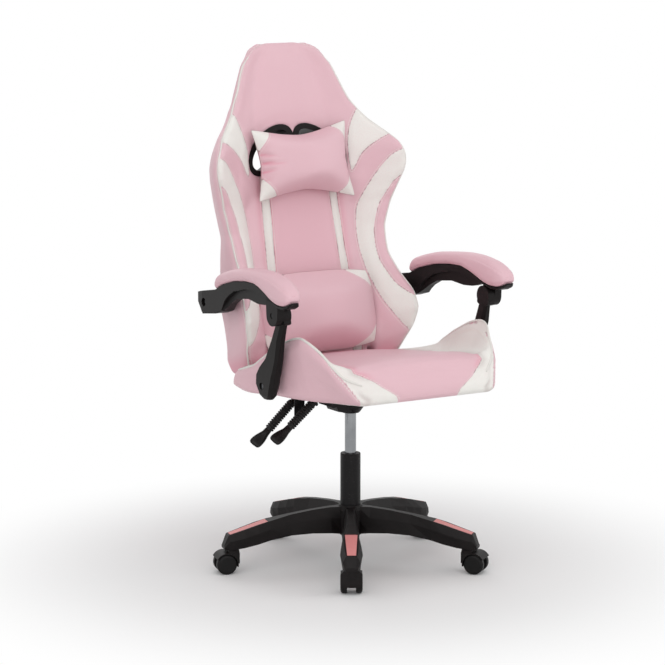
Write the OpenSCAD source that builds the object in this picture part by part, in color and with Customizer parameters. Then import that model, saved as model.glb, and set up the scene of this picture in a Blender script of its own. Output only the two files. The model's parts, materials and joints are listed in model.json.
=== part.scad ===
// Gaming chair with a five-star base, twin-wheel casters, a gas lift, a reclining
// bucket back and armrests that are linked to the recline.
// The chair faces -Y. The origin is on the floor, under the gas lift.

/* [Casters] */
// Diameter of a caster wheel
wheel_d = 50; // [44:1:54]
// Width of one caster wheel
wheel_w = 16; // [12:1:18]
// Thickness of the web between the two wheels
web_w = 20; // [16:1:24]
// Diameter of the wheel axle
axle_d = 6; // [5:0.5:8]
// Diameter of the swivel stem
stem_d = 11; // [10:0.5:12]
// Distance from the stem to the wheel axle
trail = 18; // [14:1:22]
// Thickness of the caster hood
hood_t = 2.6; // [2:0.2:4]

/* [Base] */
// Number of arms
arm_count = 5; // [5:1:6]
// Radius of the circle of caster stems
base_r = 304; // [280:1:330]
// Height of the under face of the arm tips
lip_z = 60; // [58:1:64]
// Height of the arm tops over the casters
tip_top_z = 99; // [97:1:104]
// Height of the arm tops at the hub
root_top_z = 146; // [138:1:150]
// Radius of the hub
hub_r = 34; // [31:1:38]
// Wall of the moulded base
base_wall = 4; // [3:0.5:5]
// Length of the coloured inlay on each arm
inlay_l = 98; // [80:1:104]

/* [Gas lift] */
// Diameter of the outer tube
tube_d = 50; // [46:1:54]
// Top of the outer tube
tube_top = 276; // [262:1:277]
// Wall of the outer tube
tube_wall = 1.5; // [1.2:0.1:2.5]
// Diameter of the steel cylinder
cylinder_d = 28; // [26:1:30]
// Diameter of the piston rod
rod_d = 10; // [8:1:12]
// Stroke of the lift
stroke = 100; // [80:1:101]

/* [Mechanism] */
// Under face of the mechanism's cup with the lift fully up
cup_z = 380; // [380:1:390]
// Half width of the mechanism's tub
tub_x = 95; // [85:1:100]
// Thickness of pressed steel plates
plate_t = 3; // [2:0.5:4]
// Diameter of the lever rods
lever_d = 8; // [6:1:10]
// Slope of the height lever below level, up to its bend
height_slope = 26; // [22:0.5:32]
// Slope of the recline lever below level, up to its bend
recline_slope = 20.3; // [18:0.1:30]

/* [Seat] */
// Under face of the seat
seat_z = 455; // [452:1:462]
// Thickness of the seat board
board_t = 11; // [8:1:13]
// Length of a wing's crest above the seat board
wing_rise = 163; // [150:1:170]

/* [Back] */
// Lean of the backrest behind vertical
back_lean = 13.5; // [11:0.5:15]
// Thickness of the back's padding
back_t = 65; // [60:1:72]
// Diameter of the frame tubes in the back
frame_d = 18; // [16:1:20]
// Height of the recline pivot
pivot_z = 485; // [480:1:490]

/* [Armrests] */
// Half width of an arm bracket
bracket_hw = 19; // [17:0.5:21]
// Radius of the elbow knuckles
knuckle_r = 25; // [22:1:26]
// Half width of an arm pad
pad_hw = 28; // [26:1:30]
// Diameter of the bolts of the armrests
bolt_d = 10; // [8:1:11]

/* [Hidden] */
$fn = 48;
// Clearance of a shaft in its bore, and of pieces that seat on each other
run_gap = 0.05;
seat_gap = 0.3;

// Directions of the base arms and of the casters, in the arms' order
first_arm = -121.4;
caster_turns = [58.6, 164, 118, 20, -52.7];
function arm_angle(i) = first_arm - i * 360 / arm_count;
wheel_r = wheel_d / 2;
wheel_gap = 0.6;
wheel_y = web_w / 2 + wheel_gap;
hood_r = wheel_r + 1 + hood_t;
stem_top = lip_z + 31;
boss_r = 17;
hood_bevel = 7;

// Stations of a base arm: share of the stem circle's radius, shares of the drop
// from root to tip at the top and under face, and half widths at the top, middle and under face
tip_bottom_z = lip_z;
root_bottom_z = 82;
arm_stations = [
    [0.08, 0.00, 0.20, 13, 17, 17],
    [0.18, 0.00, -0.04, 8.5, 16, 22],
    [0.34, 0.09, -0.18, 7.5, 15, 21],
    [0.52, 0.24, -0.14, 9, 16, 21],
    [0.70, 0.46, 0.24, 17, 22, 21],
    [0.80, 0.62, 0.60, 18, 25, 21],
    [0.91, 0.83, 0.86, 17, 27, 22]
];
tip_stations = [
    [0.91, 0.83, 0.86, 17, 27, 22],
    [1.00, 1.00, 1.00, 15, 24, 21],
    [1.04, 1.07, 1.00, 13, 21, 18],
    [1.075, 1.62, 0.95, 9, 15, 13]
];
waist_share = 0.58;
function arm_top(share) = root_top_z - share * (root_top_z - tip_top_z);
function arm_under(share) = root_bottom_z - share * (root_bottom_z - tip_bottom_z);

// Gas lift, from the bottom up
tube_bottom = 72;
tube_end_t = 3;
tube_r = tube_d / 2;
cylinder_r = cylinder_d / 2;
cylinder_wall = 2;
bushing_l = 66;
bushing_rim = 2;
bearing_h = 6;
piston_h = 12;
cylinder_overlap = 90;
cylinder_bottom = tube_top - cylinder_overlap;
seal_h = 8;
cylinder_top = cup_z + 25;
valve_r = 4;
valve_top = cylinder_top + 14.7;

// Mechanism: a pressed tub under the seat board
tub_y0 = -75;
tub_y1 = 78;
rim_w = 23;
tub_bottom = seat_z - 43;
cup_r = 32;
mech_bolt_r = 4;
mech_bolt_x = tub_x + rim_w / 2;
mech_bolt_y0 = tub_y0 - rim_w / 2;
mech_bolt_y1 = tub_y1 + rim_w / 2;
lever_pivot_x = -72;
lever_pivot_z = valve_top + 10.3;
lever_finger_z = valve_top + seat_gap + lever_d / 2;
lever_pin_r = 3;
lever_hub_r = 8;
lug_gap = 6;
height_y = 0;
recline_y = 55;
// Each lever: where it lies across the seat, length up to its bend, slope and length after it
height_lever = [height_y, height_slope, 43.5, 39.2, 84];
recline_lever = [recline_y, recline_slope, 69.3, 42.5, 89];
height_finger = -lever_pivot_x + 5;
recline_finger = 60;
height_bend = 3;
recline_bend = 15;
guide_x = -146;
guide_w = 28;
guide_y = 22;
guide_drop = 76;
sleeve_start = 31;
sleeve_r = lever_d / 2 + 5;
paddle_grip = 12;

// Seat: rows of y, half width and height of the under edge, half width and
// height share of the wing's crest, half width and height of the seam, height of the middle
board_y0 = -200;
board_y1 = 100;
board_x = 188;
seat_rows = [
    [119, 238, 12, 244, 32, 190, 34, 37],
    [108, 258, 2, 260, 42, 195, 47, 51],
    [60, 266, 0, 266, 54, 196, 54, 58],
    [20, 268, 0, 267, 66, 194, 58, 63],
    [-20, 266, 0, 267, 90, 190, 63, 68],
    [-63, 260, 0, 266, 116, 186, 68, 73],
    [-118, 249, 0, 264, 142, 182, 74, 79],
    [-160, 238, 1, 262, 157, 178, 80, 85],
    [-190, 228, 2, 261, 163, 174, 85, 90],
    [-222, 217, 4, 252, 151, 171, 90, 95],
    [-260, 204, 6, 240, 126, 168, 94, 99],
    [-291, 198, 8, 228, 96, 166, 95, 99],
    [-314, 193, 10, 212, 68, 160, 84, 90],
    [-334, 189, 11, 198, 40, 150, 60, 66],
    [-345, 184, 16, 187, 24, 140, 34, 38]
];
wing_scale = wing_rise / 163;

// Back: a plane that leans, with x across, s up along it and d forward of it
back_y = 140.8;
back_z = 470;
function lean(x, s, d) = [
    x,
    back_y + s * sin(back_lean) - d * cos(back_lean),
    back_z + s * cos(back_lean) + d * sin(back_lean)
];
// Rows of s, half width, forward reach of the wings, crown, thickness share and half width at the rear
back_rows = [
    [2, 200, 6, 0, 0.75, 208],
    [12, 214, 18, 1, 0.95, 222],
    [39, 228, 40, 3, 1, 231],
    [79, 246, 78, 5, 1, 229],
    [123, 256, 98, 6, 1, 231],
    [165, 253, 90, 6, 1, 234],
    [215, 237, 60, 6, 1, 228],
    [270, 224, 35, 6, 1, 220],
    [345, 227, 21, 6, 1, 206],
    [407, 240, 29, 6, 1, 213],
    [444, 254, 48, 6, 1, 217],
    [483, 270, 71, 6, 1, 219],
    [516, 272, 84, 6, 1, 218],
    [545, 263, 84, 6, 1, 208],
    [584, 240, 62, 6, 0.98, 181],
    [625, 203, 38, 7, 0.93, 155],
    [667, 170, 20, 9, 0.86, 131],
    [716, 149, 15, 10, 0.78, 109],
    [766, 127, 14, 10, 0.72, 87],
    [800, 97, 11, 6, 0.66, 70],
    [816, 60, 2, -6, 0.5, 52]
];
channel_x = 105;
pivot_y = 205;
frame_x = 160.6;
frame_depth = 44;
frame_r = frame_d / 2;
pocket = [
    [172, 62], [172, 515], [142, 600], [100, 676], [80, 738],
    [-80, 738], [-100, 676], [-142, 600], [-172, 515], [-172, 62]
];
frame_bars = [100, 270, 440];
frame_low = 46;
frame_bend = 500;
frame_top = 718;
frame_top_x = 62;
panel_front = frame_depth + frame_r + seat_gap;
panel_t = 8.5;
hinge_pin_r = 5;
hinge_plate_t = 5;
hinge_x = 141;
hinge_boss_r = 13;
plate_top_s = 88;

// Strap holes: slanted ovals
leaf_x = 70.5;
leaf_s = 550;
leaf_turn = 39.9;
leaf_a = 68;
leaf_b = 31;
bezel_w = 15;
bezel_lift = 6;
bezel_rear = 70;

// Pillows: centre along the back, half sizes and depth
head_s = 521;
head_w = 137;
head_h = 86;
lumbar_s = 149;
lumbar_w = 168;
lumbar_h = 97;
strap_t = 1.6;
strap_w = 24;
strap_x = 46;
strap_s = 548;
strap_d = bezel_lift + seat_gap + strap_t;
head_d = strap_d + seat_gap;
lumbar_d = 6 + seat_gap;

// Armrests: a linkage of back, bracket, leg and seat
elbow_y = -162;
elbow_z = 667;
rear_y = 203;
rear_z = 650;
foot_y = -85;
foot_z = 487;
elbow_x = 297.7;
elbow_half = 19.4;
pin_r = 4;
rear_play = 1.5;
bolt_r = bolt_d / 2;
leg_x = 287.7;
// Where the rear bolt's lug lies on the leaning frame
lug_s = (rear_y - back_y) * sin(back_lean) + (rear_z - back_z) * cos(back_lean);
lug_depth = (rear_y - back_y) * cos(back_lean) - (rear_z - back_z) * sin(back_lean) - bolt_r - 7;
lug_w = 32;
lug_t = 8;
rear_head = 6;
lug_room = lug_t + rear_head + 3;
spacer_l = 18;
// The bracket's inner face is slanted, so the spacer stands a little off it
spacer_gap = 0.8;
rear_cap_x = 285;
// Rows of y, top, edge of the upper band, low edge, share of half width, half width of the web
bracket_rows = [
    [228, 671, 646, 641, 0.8, 13],
    [212, 677, 623, 620, 1, 17],
    [141, 688, 633, 630, 1, 17],
    [105, 704, 643, 640, 1, 17],
    [87, 709, 668, 652, 1, 11],
    [68, 714, 682, 665, 1, 9],
    [37, 722, 697, 680, 1, 9],
    [-23, 729, 710, 687, 1, 9],
    [-72, 730, 713, 682, 1, 9],
    [-107, 721, 708, 684, 1, 9],
    [-130, 713, 702, 690, 1, 9],
    [-150, 704, 697, 695, 1, 12],
    [-170, 697.5, 692.4, 692, 1, 15],
    [-190, 693.5, 687.5, 687, 1, 16],
    [-215, 693.5, 687.5, 687, 0.95, 15],
    [-234, 700, 695, 694, 0.8, 12],
    [-243, 706, 703, 702.5, 0.5, 8]
];
// Rows of y, top and share of half width of a pad
pad_rows = [
    [141, 712, 0.75],
    [128, 727, 0.92],
    [105, 735, 0.96],
    [87, 740, 0.97],
    [68, 745, 0.98],
    [37, 752, 1],
    [-23, 760, 1],
    [-72, 767, 1],
    [-107, 770, 1],
    [-130, 771, 1],
    [-150, 770, 1],
    [-170, 768, 1],
    [-190, 765, 1],
    [-215, 756, 0.93],
    [-234, 743, 0.7],
    [-241, 728, 0.45]
];
// Rows of z, rear edge, front edge and thickness of a leg
leg_rows = [
    [457, -84, -110, 18],
    [466, -70, -118, 25],
    [490, -55, -127, 28],
    [512, -57, -134, 28],
    [532, -72, -142, 27],
    [555, -97, -149, 25],
    [580, -121, -154, 23],
    [605, -134, -159, 21],
    [648, -146, -172, 19.6]
];

function mix(a, b, share) = a + (b - a) * share;

// A closed skin over rings of points. Each ring turns anticlockwise as seen from the last ring's side,
// and its first point sees all the others.
// paired closes the ends with strips from the ring's first half to its second.
module skin(rings, paired = false) {
    m = len(rings[0]);
    n = len(rings);
    sides = [
        for (i = [0 : n - 2], j = [0 : m - 1])
        each [
            [i * m + j, (i + 1) * m + j, (i + 1) * m + (j + 1) % m],
            [i * m + j, (i + 1) * m + (j + 1) % m, i * m + (j + 1) % m]
        ]
    ];
    cap = paired
        ? [for (k = [0 : m / 2 - 2]) each [[k, k + 1, m - 2 - k], [k, m - 2 - k, m - 1 - k]]]
        : [[for (j = [0 : m - 1]) j]];
    far_cap = [for (face = cap) [for (k = [len(face) - 1 : -1 : 0]) (n - 1) * m + face[k]]];
    polyhedron(points = [for (r = rings) each r], faces = concat(sides, cap, far_cap), convexity = 6);
}

module at_arm(i) {
    rotate([0, 0, arm_angle(i)]) children();
}

// ---- Base ----

function arm_outer(row, inset) = [
    [row[0] * base_r, -row[5] + inset, arm_under(row[2]) + inset],
    [row[0] * base_r, row[5] - inset, arm_under(row[2]) + inset],
    [row[0] * base_r, row[4] - inset, mix(arm_under(row[2]), arm_top(row[1]), waist_share)],
    [row[0] * base_r, row[3] - inset, arm_top(row[1]) - inset],
    [row[0] * base_r, -row[3] + inset, arm_top(row[1]) - inset],
    [row[0] * base_r, -row[4] + inset, mix(arm_under(row[2]), arm_top(row[1]), waist_share)]
];

// A channel section, open at the under side
function arm_channel(row) =
    let (outer = arm_outer(row, 0), inner = arm_outer(row, base_wall), x = row[0] * base_r)
    [
        outer[1], outer[2], outer[3], outer[4], outer[5], outer[0],
        [x, inner[0][1], outer[0][2]], inner[5], inner[4], inner[3], inner[2], [x, inner[1][1], outer[1][2]]
    ];

module arm_rib(share, reach) {
    i = max([for (k = [0 : len(arm_stations) - 2]) if (arm_stations[k][0] <= share) k]);
    u = (share - arm_stations[i][0]) / (arm_stations[i + 1][0] - arm_stations[i][0]);
    a = mix(arm_stations[i], arm_stations[i + 1], u);
    b = concat([a[0] + base_wall * 0.6 / base_r], [for (k = [1 : 5]) a[k]]);
    inset = base_wall / 2;
    skin([
        for (row = [a, b])
        [
            for (p = arm_outer(row, inset))
            [p[0], p[1], max(p[2], arm_under(row[2]) + reach)]
        ]
    ]);
}

inlay_start = 0.715;
inlay_slope = atan((arm_top(0.46) - arm_top(1.0)) / (0.30 * base_r));
inlay_z = arm_top(0.46) - (inlay_start - 0.70) * base_r * tan(inlay_slope);

module inlay_outline(grow) {
    polygon([
        [-grow, -15 - grow], [inlay_l + grow, -10.5 - grow],
        [inlay_l + grow, 10.5 + grow], [-grow, 15 + grow]
    ]);
}

module inlay_place() {
    translate([inlay_start * base_r, 0, inlay_z])
        rotate([0, inlay_slope, 0])
        children();
}

module base_star() {
    color("#2d2a2a")
    difference() {
        union() {
            rotate_extrude($fn = 72)
                polygon([
                    [0, 76], [hub_r - 3, 76], [hub_r, 79], [hub_r, root_top_z - 9],
                    [hub_r - 4, root_top_z + 1], [hub_r - 5, root_top_z + 3], [0, root_top_z + 3]
                ]);
            for (i = [0 : arm_count - 1])
                at_arm(i) {
                    skin([for (row = arm_stations) arm_channel(row)], true);
                    skin([for (row = tip_stations) arm_outer(row, 0)]);
                    for (share = [0.26, 0.40, 0.54, 0.68, 0.80])
                        arm_rib(share, 6);
                }
        }
        translate([0, 0, 60])
            cylinder(r = tube_r + run_gap, h = 120, $fn = 72);
        for (i = [0 : arm_count - 1])
            at_arm(i) {
                translate([base_r, 0, lip_z - 10])
                    cylinder(d = stem_d + 2 * run_gap, h = stem_top + 1 - lip_z + 10);
                inlay_place()
                    translate([0, 0, -1.6])
                    linear_extrude(8)
                    inlay_outline(seat_gap);
            }
    }
}

module base_inlays() {
    color("#c97f86")
    for (i = [0 : arm_count - 1])
        at_arm(i)
        inlay_place()
        translate([0, 0, -1.6])
        linear_extrude(2.2)
        inlay_outline(0);
}

// ---- Casters ----

module at_caster(i) {
    at_arm(i)
        translate([base_r, 0, 0])
        rotate([0, 0, caster_turns[i] - arm_angle(i)])
        children();
}

module hood_outline() {
    // A cover over the top and the stem side, with the stem's boss
    difference() {
        circle(r = hood_r);
        polygon([[0, 0], [60, 34], [60, -60], [-60, -60], [-60, -14]]);
    }
    circle(r = 11);
    translate([-trail - boss_r + 4, 2])
        square([2 * boss_r - 8, lip_z - seat_gap - wheel_r - 2]);
}

module caster_hood(i) {
    color("#2d2a2a")
    at_caster(i)
    difference() {
        union() {
            translate([trail, 0, wheel_r])
                rotate([90, 0, 0])
                linear_extrude(2 * (wheel_y + wheel_w) - 2, center = true)
                intersection() {
                    hood_outline();
                    translate([-60, -wheel_r])
                        square([120, lip_z - seat_gap]);
                }
            translate([0, 0, wheel_r + 18])
                cylinder(r = boss_r, h = lip_z - seat_gap - wheel_r - 18);
        }
        // Bevels along the shoulders
        for (side = [-1, 1])
            translate([0, side * (wheel_y + wheel_w - 1 - hood_bevel), lip_z - seat_gap])
                rotate([side * -45, 0, 0])
                translate([-60, side > 0 ? 0 : -40, 0])
                cube([120, 40, 30]);
        // Wheel wells at both sides of the web
        for (side = [-1, 1])
            translate([trail, side * (web_w / 2 + 20), wheel_r])
                rotate([90, 0, 0])
                cylinder(r = wheel_r + 1, h = 40, center = true, $fn = 64);
        translate([0, 0, 20])
            cylinder(d = stem_d, h = 60);
        translate([trail, 0, wheel_r])
            rotate([90, 0, 0])
            cylinder(d = axle_d, h = 60, center = true);
    }
}

module caster_pins(i) {
    color("#8d8f92")
    at_caster(i) {
        // Stem with a grip ring
        translate([0, 0, 40])
            rotate_extrude()
            polygon([
                [0, 0], [stem_d / 2, 0], [stem_d / 2, stem_top - 40 - 9], [stem_d / 2 - 0.8, stem_top - 40 - 8],
                [stem_d / 2 - 0.8, stem_top - 40 - 6], [stem_d / 2, stem_top - 40 - 5],
                [stem_d / 2, stem_top - 40 - 1.5], [stem_d / 2 - 1.5, stem_top - 40], [0, stem_top - 40]
            ]);
        translate([trail, 0, wheel_r])
            rotate([90, 0, 0])
            cylinder(d = axle_d, h = 2 * (wheel_y + wheel_w - 4), center = true);
    }
}

module caster_wheel(i, side) {
    color("#222020")
    at_caster(i)
    translate([trail, side * wheel_y, wheel_r])
    rotate([-90 * side, 0, 0])
    rotate_extrude($fn = 64)
    polygon([
        [axle_d / 2 + run_gap, 0], [axle_d / 2 + 5, 0], [axle_d / 2 + 5, 3], [wheel_r - 7, 3], [wheel_r - 5, 0],
        [wheel_r - 2, 0], [wheel_r, 2], [wheel_r, wheel_w - 4], [wheel_r - 3, wheel_w - 1], [wheel_r - 7, wheel_w],
        [0, wheel_w], [0, wheel_w - 3.5], [axle_d / 2 + run_gap, wheel_w - 3.5]
    ]);
}

// ---- Gas lift ----

module lift_tube() {
    color("#2d2a2a")
    difference() {
        translate([0, 0, tube_bottom])
            cylinder(r = tube_r, h = tube_top - tube_bottom, $fn = 72);
        translate([0, 0, tube_bottom + tube_end_t])
            cylinder(r = tube_r - tube_wall, h = tube_top, $fn = 72);
        translate([0, 0, tube_bottom - 1])
            cylinder(d = rod_d + 2 * run_gap, h = 10);
    }
}

module lift_bushing() {
    color("#3a3738")
    difference() {
        union() {
            translate([0, 0, tube_top - bushing_l])
                cylinder(r = tube_r - tube_wall - run_gap, h = bushing_l, $fn = 72);
            translate([0, 0, tube_top])
                cylinder(r1 = tube_r, r2 = tube_r - 1, h = bushing_rim, $fn = 72);
        }
        cylinder(r = cylinder_r + run_gap, h = 400, $fn = 72);
    }
}

module lift_thrust_bearing() {
    color("#9a9c9f")
    translate([0, 0, tube_bottom + tube_end_t + run_gap])
    difference() {
        cylinder(r = 12, h = bearing_h);
        translate([0, 0, -1])
            cylinder(d = rod_d + 2 * run_gap, h = 20);
        rotate_extrude()
            translate([12.6, bearing_h / 2])
            circle(r = 1.8, $fn = 24);
    }
}

module lift_piston_rod() {
    color("#b4b6b8")
    difference() {
        union() {
            translate([0, 0, tube_bottom - 4])
                cylinder(d = rod_d, h = cylinder_bottom + seal_h + 4 - tube_bottom + 4);
            // Shoulder on the bearing, and the piston
            translate([0, 0, tube_bottom + tube_end_t + bearing_h + 2 * run_gap])
                cylinder(r = 9, h = 2.4);
            translate([0, 0, cylinder_bottom + seal_h + 1])
                cylinder(r = cylinder_r - cylinder_wall - run_gap, h = piston_h);
            // Clip under the tube
            translate([0, 0, tube_bottom - 1.5 - run_gap])
                cylinder(r = 9, h = 1.5);
        }
    }
}

module lift_cylinder() {
    color("#a9abad")
    difference() {
        translate([0, 0, cylinder_bottom])
            cylinder(r = cylinder_r, h = cylinder_top - cylinder_bottom, $fn = 72);
        translate([0, 0, cylinder_bottom + seal_h])
            cylinder(r = cylinder_r - cylinder_wall, h = cylinder_top - cylinder_bottom - seal_h - 17);
        translate([0, 0, cylinder_bottom - 1])
            cylinder(d = rod_d + 2 * run_gap, h = seal_h + 2);
        translate([0, 0, cylinder_top - 14])
            cylinder(r = valve_r + run_gap, h = 20);
    }
}

module lift_valve_pin() {
    color("#c8c9cb")
    translate([0, 0, cylinder_top - 7])
    rotate_extrude()
    polygon([
        [0, 0], [valve_r, 0], [valve_r, valve_top - cylinder_top + 6],
        [valve_r - 1, valve_top - cylinder_top + 7], [0, valve_top - cylinder_top + 7]
    ]);
}

// ---- Mechanism ----

module lug_pair(y) {
    for (side = [-1, 1])
        translate([lever_pivot_x, y + side * (lug_gap + plate_t / 2), 0])
        difference() {
            translate([-8, -plate_t / 2, tub_bottom + 1])
                cube([16, plate_t, seat_z - 6 - tub_bottom]);
            translate([0, 0, lever_pivot_z])
                rotate([90, 0, 0])
                cylinder(r = lever_pin_r, h = 20, center = true);
        }
}

module mechanism_housing() {
    color("#232122")
    difference() {
        union() {
            // Tub with its rim, which bolts to the seat board
            difference() {
                translate([-tub_x, tub_y0, tub_bottom])
                    cube([2 * tub_x, tub_y1 - tub_y0, seat_z - tub_bottom]);
                translate([-tub_x + plate_t, tub_y0 + plate_t, tub_bottom + plate_t - 1])
                    cube([2 * (tub_x - plate_t), tub_y1 - tub_y0 - 2 * plate_t, 80]);
            }
            difference() {
                translate([-tub_x - rim_w, tub_y0 - rim_w, seat_z - plate_t])
                    cube([2 * (tub_x + rim_w), tub_y1 - tub_y0 + 2 * rim_w, plate_t]);
                translate([-tub_x + 1, tub_y0 + 1, seat_z - plate_t - 1])
                    cube([2 * tub_x - 2, tub_y1 - tub_y0 - 2, 10]);
            }
            // Cup that takes the cylinder
            rotate_extrude($fn = 64)
                polygon([
                    [0, cup_z], [cup_r - 10, cup_z], [cup_r - 8, cup_z + 2],
                    [cup_r, cup_z + 13], [cup_r + 1, tub_bottom + 1], [0, tub_bottom + 1]
                ]);
            // Fold of the pressing, down to the cup
            translate([0, 26, 0])
                rotate([90, 0, 0])
                linear_extrude(52)
                polygon([[-14, cup_z + 2.5], [-50, cup_z + 9], [-62, tub_bottom + 1], [0, tub_bottom + 1]]);
            // Guide plate that hangs from the rim between the levers
            translate([guide_x, guide_y, seat_z - guide_drop])
                cube([guide_w, plate_t, guide_drop - 20]);
            translate([guide_x, guide_y, seat_z - 21])
                cube([-guide_x - tub_x + 1, plate_t, 21 - seat_gap]);
            lug_pair(height_y);
            lug_pair(recline_y);
            // Stiffening bosses in the tub's floor
            for (x = [-50, 50])
                translate([x, 40, tub_bottom])
                cylinder(r = 12, h = plate_t + 1);
        }
        translate([0, 0, cup_z - 1])
            cylinder(r = cylinder_r + run_gap, h = cylinder_top + run_gap - cup_z + 1, $fn = 72);
        translate([0, 0, cup_z])
            cylinder(r = 9, h = 60);
        // Ways out for the two levers
        for (y = [height_y, recline_y])
            translate([-tub_x - 5, y - lug_gap, tub_bottom - 5])
            cube([40, 2 * lug_gap, 30]);
        for (x = [-mech_bolt_x, mech_bolt_x], y = [mech_bolt_y0, mech_bolt_y1])
            translate([x, y, seat_z - 10])
            cylinder(r = mech_bolt_r + run_gap, h = 20);
    }
}

module mechanism_bolts() {
    color("#6d6f72")
    for (x = [-mech_bolt_x, mech_bolt_x], y = [mech_bolt_y0, mech_bolt_y1])
        translate([x, y, 0]) {
            translate([0, 0, seat_z - plate_t - 5.5])
                cylinder(r = 6.5, h = 5.5, $fn = 6);
            translate([0, 0, seat_z - plate_t - 1])
                cylinder(r = mech_bolt_r, h = plate_t + board_t + 1);
        }
}

module lever_pins() {
    color("#8d8f92")
    for (y = [height_y, recline_y])
        translate([lever_pivot_x, y, lever_pivot_z])
        rotate([90, 0, 0])
        cylinder(r = lever_pin_r - run_gap, h = 2 * (lug_gap + plate_t), center = true);
}

// Places its children at the bend of a lever, along the way on
module after_bend(lever) {
    rotate([0, -90 - lever[1], 0])
        translate([0, 0, lever[2]])
        rotate([0, lever[1] - lever[3], 0])
        children();
}

module at_pivot(lever) {
    translate([lever_pivot_x, lever[0], lever_pivot_z]) children();
}

module lever_rod(lever, finger) {
    color("#3a3c3e")
    at_pivot(lever)
    difference() {
        union() {
            rotate([90, 0, 0])
                cylinder(r = lever_hub_r, h = 2 * lug_gap - 1, center = true);
            rotate([0, -90 - lever[1], 0])
                cylinder(d = lever_d, h = lever[2]);
            after_bend(lever) {
                sphere(r = lever_d / 2 + 0.2);
                cylinder(d = lever_d, h = lever[4] + paddle_grip);
            }
            translate([0, 0, lever_finger_z - lever_pivot_z])
                rotate([0, 90, 0])
                cylinder(d = lever_d, h = finger);
        }
        rotate([90, 0, 0])
            cylinder(r = lever_pin_r, h = 30, center = true);
    }
}

module ribbed_sleeve(from, to) {
    pitch = 6.5;
    count = floor((to - from) / pitch);
    inner = lever_d / 2 + run_gap;
    translate([0, 0, from])
        rotate_extrude()
        polygon(concat(
            [[inner, 0]],
            [
                for (k = [0 : count - 1])
                each [
                    [inner + 2.6, k * pitch], [sleeve_r, k * pitch + 1.5],
                    [sleeve_r, k * pitch + 3.8], [inner + 2.6, k * pitch + 5.3]
                ]
            ],
            [[inner + 2.6, to - from], [inner, to - from]]
        ));
}

// A ribbed sleeve over the rod, in one piece with its bend
module lever_sleeve(lever) {
    color("#1f1d1e")
    at_pivot(lever)
    difference() {
        union() {
            rotate([0, -90 - lever[1], 0])
                ribbed_sleeve(sleeve_start, lever[2] - 1);
            after_bend(lever) {
                sphere(r = sleeve_r - 0.8);
                ribbed_sleeve(1, lever[4] - seat_gap);
            }
        }
        rotate([0, -90 - lever[1], 0])
            cylinder(d = lever_d + 2 * run_gap, h = lever[2]);
        after_bend(lever) {
            sphere(r = lever_d / 2 + 0.2 + run_gap);
            cylinder(d = lever_d + 2 * run_gap, h = lever[4]);
        }
    }
}

module lever_paddle(lever, bend) {
    color("#1b191a")
    at_pivot(lever)
        after_bend(lever)
        difference() {
            translate([0, 0, lever[4]])
                rotate([0, bend, 0])
                hull() {
                    translate([0, 0, 2])
                        cylinder(r = 8.5, h = 4, $fn = 32);
                    translate([0, 0, 22])
                        scale([0.55, 1, 1])
                        sphere(r = 13, $fn = 32);
                    for (side = [-1, 1])
                        translate([0, side * 7, 44])
                        scale([0.7, 1, 1])
                        sphere(r = 9, $fn = 32);
                }
            translate([0, 0, -10])
                cylinder(d = lever_d + 2 * run_gap, h = lever[4] + paddle_grip + 0.5 + 10);
        }
}

// ---- Seat ----

function seat_ring(row) =
    let (
        y = row[0],
        wb = row[1],
        zb = seat_z + row[2],
        wo = row[3],
        zw = seat_z + row[4] * wing_scale,
        wi = row[5],
        zs = seat_z + row[6],
        zc = seat_z + row[7],
        half = [
            [0.95 * wb, zb],
            [wb + 1, zb + min(7, (zw - zb) * 0.3)],
            [mix(wb, wo, 0.6) + 1, mix(zb, zw, 0.45)],
            [wo, mix(zb, zw, 0.82)],
            [wo - 6, zw - 1],
            [wo - 17, zw],
            [mix(wo, wi, 0.5), mix(zw, zs, 0.42)],
            [wi, zs],
            [0.55 * wi, mix(zs, zc, 0.8)]
        ]
    )
    concat(
        [[0, y, zc]],
        [for (k = [len(half) - 1 : -1 : 0]) [-half[k][0], y, half[k][1]]],
        [for (p = half) [p[0], y, p[1]]]
    );

module board_outline(grow) {
    polygon([
        [-board_x - grow, board_y1 + grow], [-board_x - grow, -120], [-board_x + 18 - grow, board_y0 - grow],
        [board_x - 18 + grow, board_y0 - grow], [board_x + grow, -120], [board_x + grow, board_y1 + grow]
    ]);
}

leg_cap_x = leg_x + 4 + seat_gap;
ear_t = 8;
ear_w = 44;
ear_h = foot_z + 16 - seat_z;
leg_head = 6;
ear_room = ear_t + leg_head + 4 * seat_gap;

module seat_board() {
    color("#3d3632")
    difference() {
        union() {
            translate([0, 0, seat_z])
                linear_extrude(board_t)
                board_outline(0);
            for (side = [-1, 1])
                translate([side * (board_x - ear_t / 2) - ear_t / 2, foot_y - ear_w / 2, seat_z])
                cube([ear_t, ear_w, ear_h]);
        }
        for (x = [-mech_bolt_x, mech_bolt_x], y = [mech_bolt_y0, mech_bolt_y1])
            translate([x, y, seat_z - 1])
            cylinder(r = mech_bolt_r + run_gap, h = board_t + 2);
        for (side = [-1, 1])
            translate([side * board_x, foot_y, foot_z])
            rotate([0, 90, 0])
            cylinder(r = bolt_r + run_gap, h = 40, center = true);
    }
}

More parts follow.
